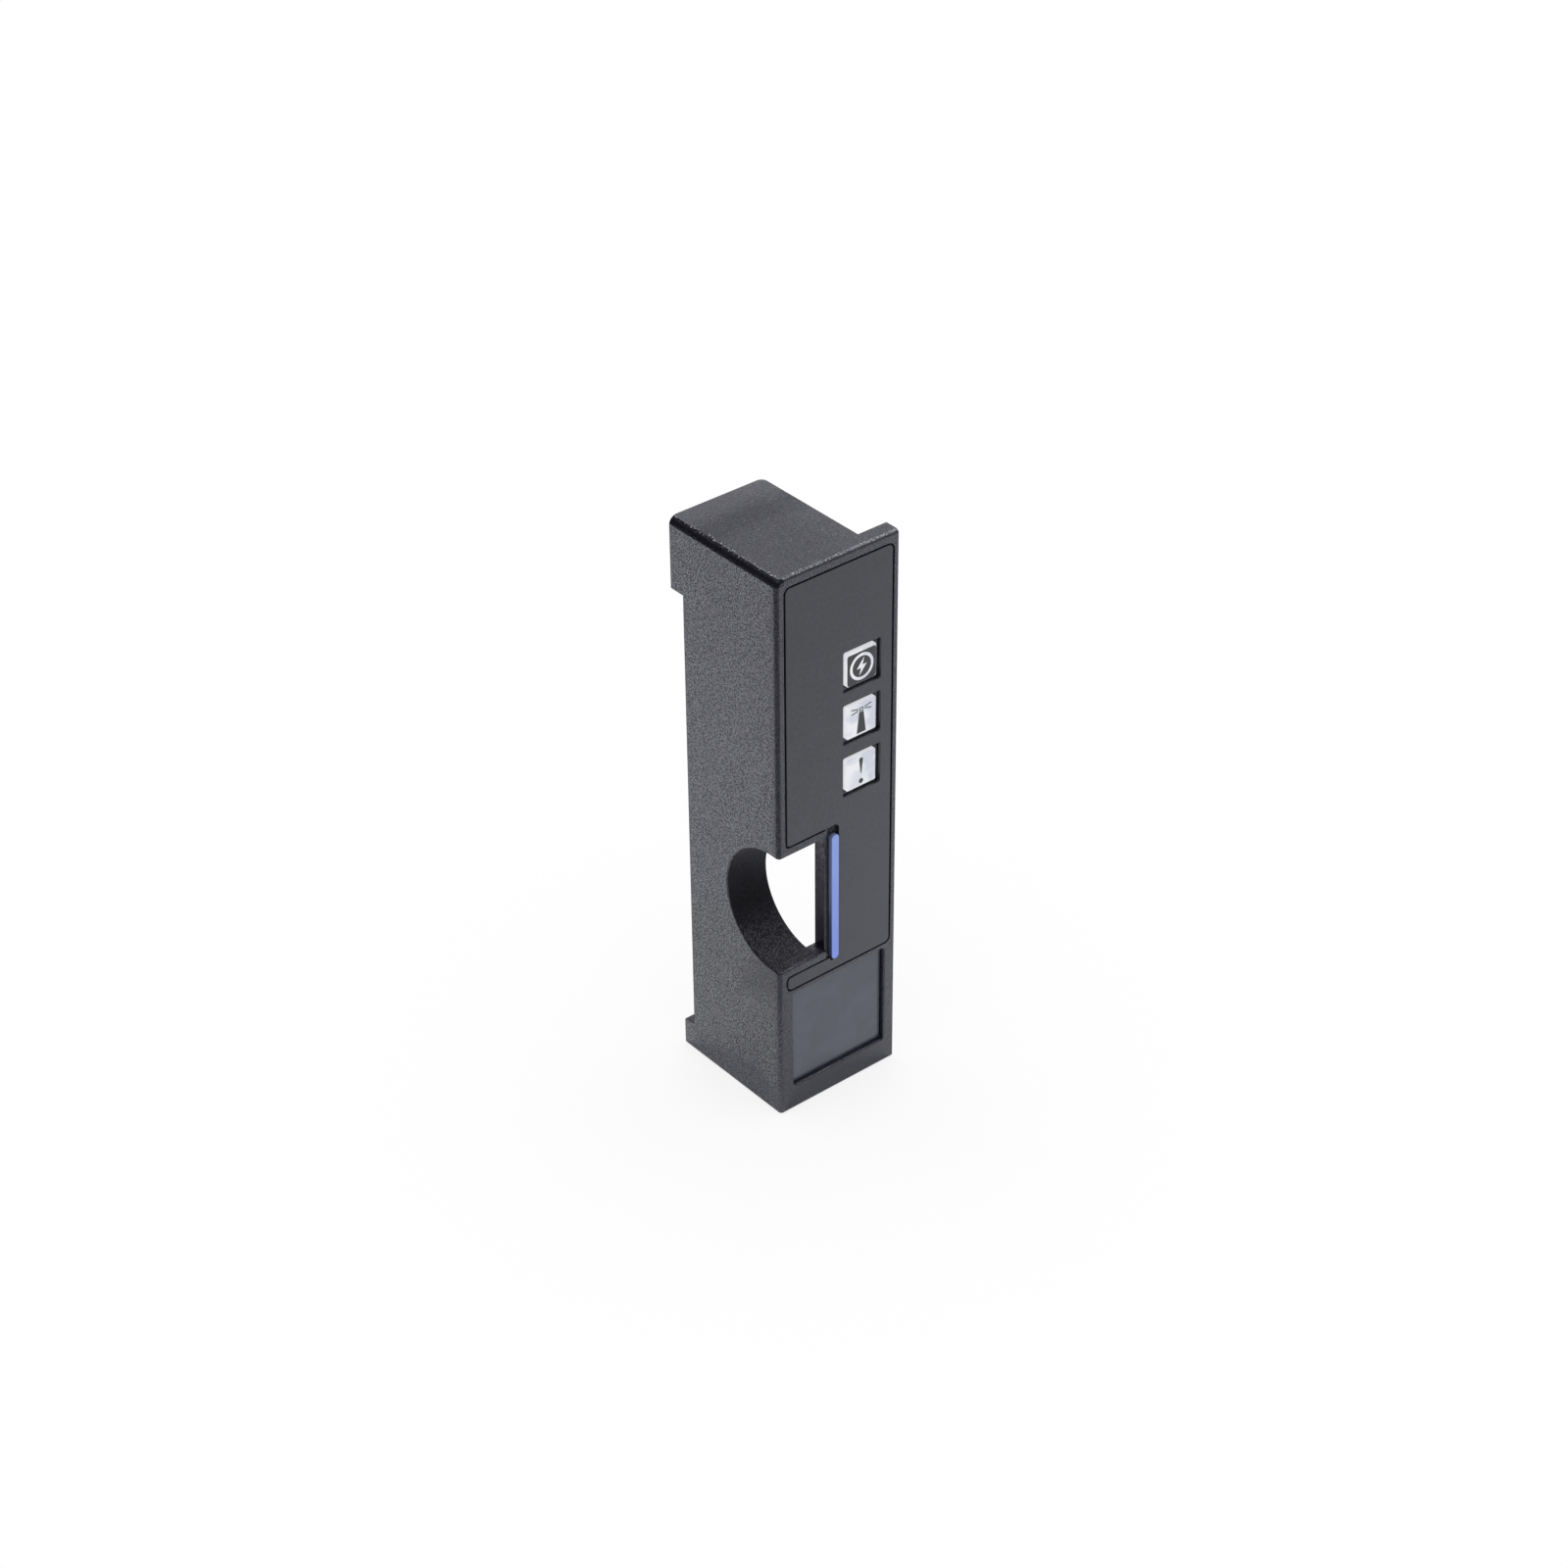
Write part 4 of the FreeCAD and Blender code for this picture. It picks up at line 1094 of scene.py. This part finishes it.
@dataclass
class EjectorMarks:
    """Shallow round marks that the ejector pins leave inside the cover."""

    radius: float = 1.3
    height: float = 0.06
    sink: float = 0.05
    sides: int = 32
    plate_row: Place = (-5.2, FRONT + 2.5, 52.0)
    plate_count: int = 3
    plate_pitch: float = 13.0
    wall_row: Place = (-8.4, 4.6, 16.0)
    wall_count: int = 5
    wall_pitch: float = 13.5

    def tree(self) -> ShapeTree:
        """Build the tree that sets a row of marks along the height.

        Returns:
            The tree.
        """
        tree = ShapeTree("ejector_row")
        start, turn = (tree.take(name, "NodeSocketVector") for name in ("Start", "Turn"))
        pitch, radius, depth = (
            tree.take(name, "NodeSocketFloat") for name in ("Pitch", "Radius", "Depth"))
        count = tree.take("Count", "NodeSocketInt")
        row = tree.node(
            "GeometryNodeMeshLine", {"mode": "OFFSET"},
            {"Count": count, "Start Location": start, "Offset": tree.join(0.0, 0.0, pitch)},
        )
        pin = tree.node(
            "GeometryNodeMeshCylinder", None,
            {"Vertices": self.sides, "Radius": radius, "Depth": depth},
        )
        marks = tree.node(
            "GeometryNodeInstanceOnPoints", None,
            {"Points": row, "Instance": pin, "Rotation": turn},
        )
        tree.close(marks, GrainedPlastic().material())
        return tree

    def build(self) -> None:
        """Make the two rows and dress them as the cover."""
        tree = self.tree()
        quarter = math.pi / 2
        lift = self.height / 2 - self.sink / 2
        thick = self.height + self.sink
        x, y, z = self.plate_row
        plate = {"Start": Vector((x, y + lift, z)) * MM, "Count": self.plate_count,
                 "Pitch": self.plate_pitch * MM, "Turn": Vector((quarter, 0.0, 0.0))}
        x, y, z = self.wall_row
        wall = {"Start": Vector((x + lift, y, z)) * MM, "Count": self.wall_count,
                "Pitch": self.wall_pitch * MM, "Turn": Vector((0.0, quarter, 0.0))}
        size = {"Radius": self.radius * MM, "Depth": thick * MM}
        for name, row in (("plate_ejector_marks", plate), ("wall_ejector_marks", wall)):
            seat(tree.make(name, {**row, **size}), GrainedPlastic(), Slot.COVER)


@dataclass
class SymbolPlate:
    """The printed sign on the face of one light pipe."""

    symbol: Symbol
    centre: Point
    face: float
    bite: float = 0.01
    proud: float = 0.02
    clear_proud: float = 0.032
    sides: int = 48
    # Dark field with a ring and a bolt.
    field_size: Point = (4.94, 4.69)
    field_round: float = 0.34
    field_steps: int = 6
    field_drop: float = 0.12
    ring_outer: float = 2.04
    ring_inner: float = 1.60
    bolt: tuple[Point, ...] = (
        (0.42, 1.32), (-0.86, -0.22), (-0.14, -0.22), (-0.42, -1.32), (0.86, 0.22), (0.14, 0.22))
    # Beacon tower with its lamp and rays.
    tower: tuple[Point, ...] = ((-0.38, 1.05), (-0.78, -2.20), (0.78, -2.20), (0.38, 1.05))
    lamp_height: float = 1.48
    lamp_half: float = 0.34
    lamp_below: float = 0.30
    lamp_above: float = 0.26
    lamp_wall: float = 0.12
    ray_width: float = 0.15
    ray_length: float = 1.20
    ray_start: float = 0.58
    ray_spread: float = 0.44
    ray_count: int = 2
    # Tapered stroke over a dot.
    stroke_top: Point = (0.33, 1.68)
    stroke_top_steps: int = 14
    stroke_foot: Point = (0.07, -0.42)
    stroke_foot_steps: int = 8
    dot_radius: float = 0.37
    dot_height: float = -1.72

    def outline(self, work: bmesh.types.BMesh, points: Sequence[Point],
                front: float, hole: Sequence[Point] = ()) -> None:
        """Add a thin plate with a flat outline.

        Args:
            work: mesh that the plate is added to.
            points: outline about the centre of the face, in millimetres.
            front: depth of its front in millimetres.
            hole: outline of a hole with as many points, or nothing.
        """
        count = len(points)
        following = [(here, (here + 1) % count) for here in range(count)]

        def ring(spots: Sequence[Point], depth: float) -> list[bmesh.types.BMVert]:
            """Add one ring of vertices at a depth."""
            x, z = self.centre
            return [work.verts.new(Vector((x + u, depth, z + v)) * MM) for u, v in spots]

        def wall(one: list[bmesh.types.BMVert], other: list[bmesh.types.BMVert]) -> None:
            """Join two rings with a band of faces."""
            for here, there in following:
                work.faces.new((one[here], one[there], other[there], other[here]))

        loops = [
            (ring(spots, front), ring(spots, self.face + self.bite))
            for spots in (points, hole) if spots
        ]
        for fore, aft in loops:
            wall(fore, aft)
        for level in zip(*loops):
            if hole:
                wall(*level)
            else:
                work.faces.new(*level)

    def arc(self, x: float, z: float, radius: float, start: float, end: float,
            count: int) -> list[Point]:
        """Return points along an arc, with angles in degrees."""
        turns = [math.radians(start + (end - start) * step / count) for step in range(count + 1)]
        return [(x + radius * math.cos(turn), z + radius * math.sin(turn)) for turn in turns]

    def disc(self, z: float, radius: float) -> list[Point]:
        """Return the outline of a disc on the middle line."""
        turns = [2 * math.pi * step / self.sides for step in range(self.sides)]
        return [(radius * math.cos(turn), z + radius * math.sin(turn)) for turn in turns]

    def lamp_frame(self, inset: float) -> list[Point]:
        """Return the outline of the lamp, drawn in by an inset.

        Args:
            inset: how far it is drawn in, in millimetres.

        Returns:
            Its corners.
        """
        side = self.lamp_half - inset
        foot = self.lamp_height - self.lamp_below + inset
        roof = self.lamp_height + self.lamp_above - inset
        return [(-side, foot), (side, foot), (side, roof), (-side, roof)]

    def print_sign(self, name: str, work: bmesh.types.BMesh, finish: Finish) -> None:
        """Turn a working mesh into a sign with its faces outwards and dress it."""
        bmesh.ops.recalc_face_normals(work, faces=work.faces)
        seat(meshed(name, work), finish, Slot.CLEAR)

    def power(self) -> None:
        """Print the dark field with its ring and its bolt left clear."""
        corner = self.field_round
        x, z = (size / 2 - corner for size in self.field_size)
        low = -self.field_drop
        rounds = ((x, z, 0.0), (-x, z, 90.0), (-x, -z, 180.0), (x, -z, 270.0))
        field = [
            spot
            for u, v, start in rounds
            for spot in self.arc(u, v + low, corner, start, start + 90.0, self.field_steps)
        ]
        mask = bmesh.new()
        self.outline(mask, field, self.face - self.proud)
        self.print_sign("power_field", mask, PrintedInk())
        sign = bmesh.new()
        front = self.face - self.clear_proud
        self.outline(
            sign, self.disc(low, self.ring_outer), front, self.disc(low, self.ring_inner))
        self.outline(sign, [(u, v + low) for u, v in self.bolt], front)
        self.print_sign("power_sign", sign, ClearPlastic())

    def rays(self) -> list[bpy.types.Object]:
        """Make the rays on both sides of the lamp.

        Returns:
            One object for each side.
        """
        tree = ShapeTree("lamp_rays")
        centre, size = (tree.take(name, "NodeSocketVector") for name in ("Centre", "Size"))
        first, step, reach = (
            tree.take(name, "NodeSocketFloat") for name in ("First", "Step", "Reach"))
        count = tree.take("Count", "NodeSocketInt")
        turn = first + step * tree.node("GeometryNodeInputIndex")
        spoke = tree.node(
            "ShaderNodeVectorMath", {"operation": "ADD"},
            {0: centre, 1: tree.join(reach * turn.cosine(), 0.0, reach * turn.sine())},
        )
        spots = tree.node("GeometryNodePoints", None, {"Count": count, "Position": spoke})
        bar = tree.node("GeometryNodeMeshCube", None, {"Size": size})
        rays = tree.node(
            "GeometryNodeInstanceOnPoints", None,
            {"Points": spots, "Instance": bar, "Rotation": tree.join(0.0, 0.0 - turn, 0.0)},
        )
        tree.close(rays, PrintedInk().material())
        x, z = self.centre
        thick = self.proud + self.bite
        middle = Vector((x, self.face + self.bite - thick / 2, z + self.lamp_height)) * MM
        shared = {
            "Centre": middle, "Count": self.ray_count, "Step": self.ray_spread,
            "Reach": (self.ray_start + self.ray_length / 2) * MM,
            "Size": Vector((self.ray_length, thick, self.ray_width)) * MM,
        }
        half = self.ray_spread * (self.ray_count - 1) / 2
        return [
            tree.make(f"identify_rays_{side}", {**shared, "First": angle - half})
            for side, angle in (("right", 0.0), ("left", math.pi))
        ]

    def identify(self) -> None:
        """Print a beacon tower with its lamp and rays."""
        front = self.face - self.proud
        sign = bmesh.new()
        self.outline(sign, self.tower, front)
        self.outline(sign, self.lamp_frame(0.0), front, self.lamp_frame(self.lamp_wall))
        self.print_sign("identify_sign", sign, PrintedInk())
        for piece in self.rays():
            seat(piece, PrintedInk(), Slot.CLEAR)

    def fault(self) -> None:
        """Print a tapered stroke over a dot."""
        front = self.face - self.proud
        top, top_height = self.stroke_top
        foot, foot_height = self.stroke_foot
        stroke = [
            *self.arc(0.0, top_height, top, 0.0, 180.0, self.stroke_top_steps),
            *self.arc(0.0, foot_height, foot, 180.0, 360.0, self.stroke_foot_steps),
        ]
        sign = bmesh.new()
        self.outline(sign, stroke, front)
        self.outline(sign, self.disc(self.dot_height, self.dot_radius), front)
        self.print_sign("fault_sign", sign, PrintedInk())

    def build(self) -> None:
        """Print the sign of this pipe."""
        makers: dict[Symbol, Callable[[], None]] = {
            Symbol.POWER: self.power,
            Symbol.IDENTIFY: self.identify,
            Symbol.FAULT: self.fault,
        }
        makers[self.symbol]()


@dataclass
class LightPipe:
    """One light pipe with its sign."""

    symbol: Symbol

    def build(self) -> None:
        """Build the pipe and print its face."""
        node = f"{self.symbol.value}_light_pipe"
        low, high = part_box(node)
        middle = (low + high) / 2 / MM
        MouldedPiece(
            f"{self.symbol.value}_pipe", node, Slot.CLEAR, ClearPlastic(), MOULDED_EDGE).build()
        SymbolPlate(self.symbol, (middle.x, middle.z), low.y / MM).build()


@dataclass(frozen=True)
class Card:
    """A dark or bright card, swept about the middle, that only reflections see.

    Attributes:
        name: name of the card.
        bearings: first and last bearing of the sweep in degrees.
        inner: reach and height of its inner edge in metres.
        outer: reach and height of its outer edge in metres.
        strength: brightness.
        tint: colour.
        steps: facets of the sweep.
    """

    name: str
    bearings: Point
    inner: Point
    outer: Point
    strength: float
    tint: Colour = (0.92, 0.93, 1.0)
    steps: int = 48

    def build(self) -> None:
        """Sweep the card and keep it out of sight of all but glossy rays."""
        first, last = (math.radians(angle) for angle in self.bearings)
        work = bmesh.new()
        columns = []
        for step in range(self.steps + 1):
            bearing = first + (last - first) * step / self.steps
            columns.append([
                work.verts.new((reach * math.cos(bearing), reach * math.sin(bearing), height))
                for reach, height in (self.inner, self.outer)
            ])
        for before, after in zip(columns, columns[1:]):
            work.faces.new((before[0], after[0], after[1], before[1]))
        tree = SurfaceTree(self.name)
        glow = tree.node(
            "ShaderNodeEmission", None, {"Color": (*self.tint, 1.0), "Strength": self.strength})
        tree.node("ShaderNodeOutputMaterial", None, {"Surface": glow})
        card = meshed(self.name, work)
        card.data.materials.append(tree.material)
        card.visible_camera = False
        card.visible_diffuse = False
        card.visible_transmission = False
        card.visible_volume_scatter = False
        card.visible_shadow = False


@dataclass
class Studio:
    """White table, soft light from above, cards for the reflections and the camera."""

    floor_radius: float = 4.0
    floor_drop: float = 0.00005
    floor_sides: int = 96
    floor_colour: Colour = (0.93, 0.935, 0.945)
    white: Colour = (0.95, 0.955, 1.0)
    backdrop_white: Colour = (0.991, 0.991, 0.991)
    table_white: Colour = (0.988, 0.986, 0.980)
    floor_glow: float = 0.80
    fill: float = 0.42
    mirrored: float = 0.64
    overhead: float = 2.3
    overhead_angle: float = 70.0
    cards: tuple[Card, ...] = (
        Card("room_card", (95.0, 306.0), (ROOM_REACH, 0.0), (ROOM_REACH, 0.40), 0.004),
        # The foot card is a dimmer ring that stands in, in reflections, for the floor's shadow
        # round the foot: a painted shadow.
        Card("foot_shadow_card", (0.0, 360.0), (0.008, CARD_LIFT), (0.0145, CARD_LIFT), 0.60),
        Card("left_card", (147.0, 195.0), (0.028, CARD_LIFT), (ROOM_REACH, CARD_LIFT), 0.44),
        Card("front_card", (195.0, 286.0), (0.036, CARD_LIFT), (ROOM_REACH, CARD_LIFT), 0.38),
        Card("rear_sweep", (96.0, 147.0), (0.050, CARD_LIFT), (ROOM_REACH, CARD_LIFT), 1.18),
        Card("right_sweep", (-38.0, 40.0), (0.018, CARD_LIFT), (ROOM_REACH, CARD_LIFT), 1.50),
        Card("front_box_card", (-54.0, -28.0), (BOX_REACH, 0.33), (BOX_REACH, 0.80), 3.5),
        Card("box_card", (-28.0, 97.0), (BOX_REACH, 0.51), (BOX_REACH, 0.80), 3.5),
    )
    target: Place = (0.0005615, 0.0011587, 0.0451186)
    distance: float = 0.4830789
    azimuth: float = -39.3832
    elevation: float = 34.2126
    roll: float = -0.483
    lens: float = 81.0182
    near: float = 0.01
    far: float = 20.0

    @staticmethod
    def seen(camera: Signal) -> Signal:
        """Return a mask of the rays that show the background."""
        return camera.greatest(camera.peer("Is Glossy Ray")).greatest(
            camera.peer("Is Transmission Ray"))

    def world(self) -> None:
        """Give the world a plain fill that shows as white."""
        world = bpy.data.worlds.new("studio")
        world.use_nodes = True
        bpy.context.scene.world = world
        tree = Tree(world.node_tree)
        camera = tree.node("ShaderNodeLightPath", output="Is Camera Ray")
        shown = 1.0 - camera.peer("Is Glossy Ray") * (1.0 - self.mirrored)
        strength = self.fill + self.seen(camera) * (shown - self.fill)
        colour = tree.mix(camera, self.white, self.backdrop_white)
        light = tree.node("ShaderNodeBackground", None, {"Color": colour, "Strength": strength})
        tree.node("ShaderNodeOutputWorld", None, {"Surface": light})

    def floor(self) -> None:
        """Lay the white table, which glows a little so that it shows as white."""
        work = bmesh.new()
        bmesh.ops.create_circle(
            work, cap_ends=True, segments=self.floor_sides, radius=self.floor_radius)
        bmesh.ops.translate(work, verts=work.verts, vec=(0.0, 0.0, -self.floor_drop))
        tree = SurfaceTree("table_white")
        matt = tree.node("ShaderNodeBsdfDiffuse", None, {"Color": (*self.floor_colour, 1.0)})
        camera = tree.node("ShaderNodeLightPath", output="Is Camera Ray")
        colour = tree.mix(camera, self.white, self.table_white)
        glow = tree.node("ShaderNodeEmission", None, {"Color": colour})
        share = self.seen(camera) * self.floor_glow
        both = tree.node("ShaderNodeMixShader", None, {0: share, 1: matt, 2: glow})
        tree.node("ShaderNodeOutputMaterial", None, {"Surface": both})
        floor = meshed("floor", work)
        floor.data.materials.append(tree.material)

    def light(self) -> None:
        """Hang the large soft light overhead."""
        lamp = bpy.data.lights.new("overhead", "SUN")
        lamp.energy = self.overhead
        lamp.angle = math.radians(self.overhead_angle)
        hung = bpy.data.objects.new("overhead", lamp)
        hung.visible_glossy = False
        bpy.context.scene.collection.objects.link(hung)

    def camera(self) -> None:
        """Stand the camera where the picture was taken from."""
        azimuth, elevation, roll = (
            math.radians(angle) for angle in (self.azimuth, self.elevation, self.roll))
        back = Vector((
            math.sin(azimuth) * math.cos(elevation),
            -math.cos(azimuth) * math.cos(elevation),
            math.sin(elevation),
        ))
        right = Vector((0.0, 0.0, 1.0)).cross(back).normalized()
        up = back.cross(right)
        level = right * math.cos(roll) + up * math.sin(roll)
        upright = up * math.cos(roll) - right * math.sin(roll)
        lens = bpy.data.cameras.new("camera")
        lens.lens = self.lens
        lens.clip_start = self.near
        lens.clip_end = self.far
        camera = bpy.data.objects.new("camera", lens)
        bpy.context.scene.collection.objects.link(camera)
        turn = Matrix((level, upright, back)).transposed()
        camera.matrix_world = Matrix.Translation(
            Vector(self.target) + back * self.distance) @ turn.to_4x4()
        bpy.context.scene.camera = camera

    def build(self) -> None:
        """Set up the whole studio."""
        bpy.context.scene.view_settings.view_transform = "Standard"
        self.world()
        self.floor()
        for card in self.cards:
            card.build()
        self.light()
        self.camera()


def main() -> None:
    """Build the classes in order."""
    logging.basicConfig(level=logging.INFO, format="%(name)s %(message)s")
    for piece in (
        MouldedPiece("cover_shell", "cover_body", Slot.COVER, GrainedPlastic(), MOULDED_EDGE),
        MouldedPiece("overlay_plate", "front_overlay", Slot.OVERLAY, MattSheet(), SHEET_EDGE),
        MouldedPiece("blue_strip", "touch_strip", Slot.TOUCH, TouchBlue(), STRIP_EDGE),
        MouldedPiece("pane", "display_window", Slot.PANE, SmokedPane(), SHEET_EDGE),
        MouldedPiece(
            "pipe_holder", "light_pipe_holder", Slot.HOLDER, PlainPlastic(), MOULDED_EDGE),
    ):
        piece.build()
    for symbol in Symbol:
        LightPipe(symbol).build()
    EjectorMarks().build()
    Studio().build()


if __name__ == "__main__":
    main()
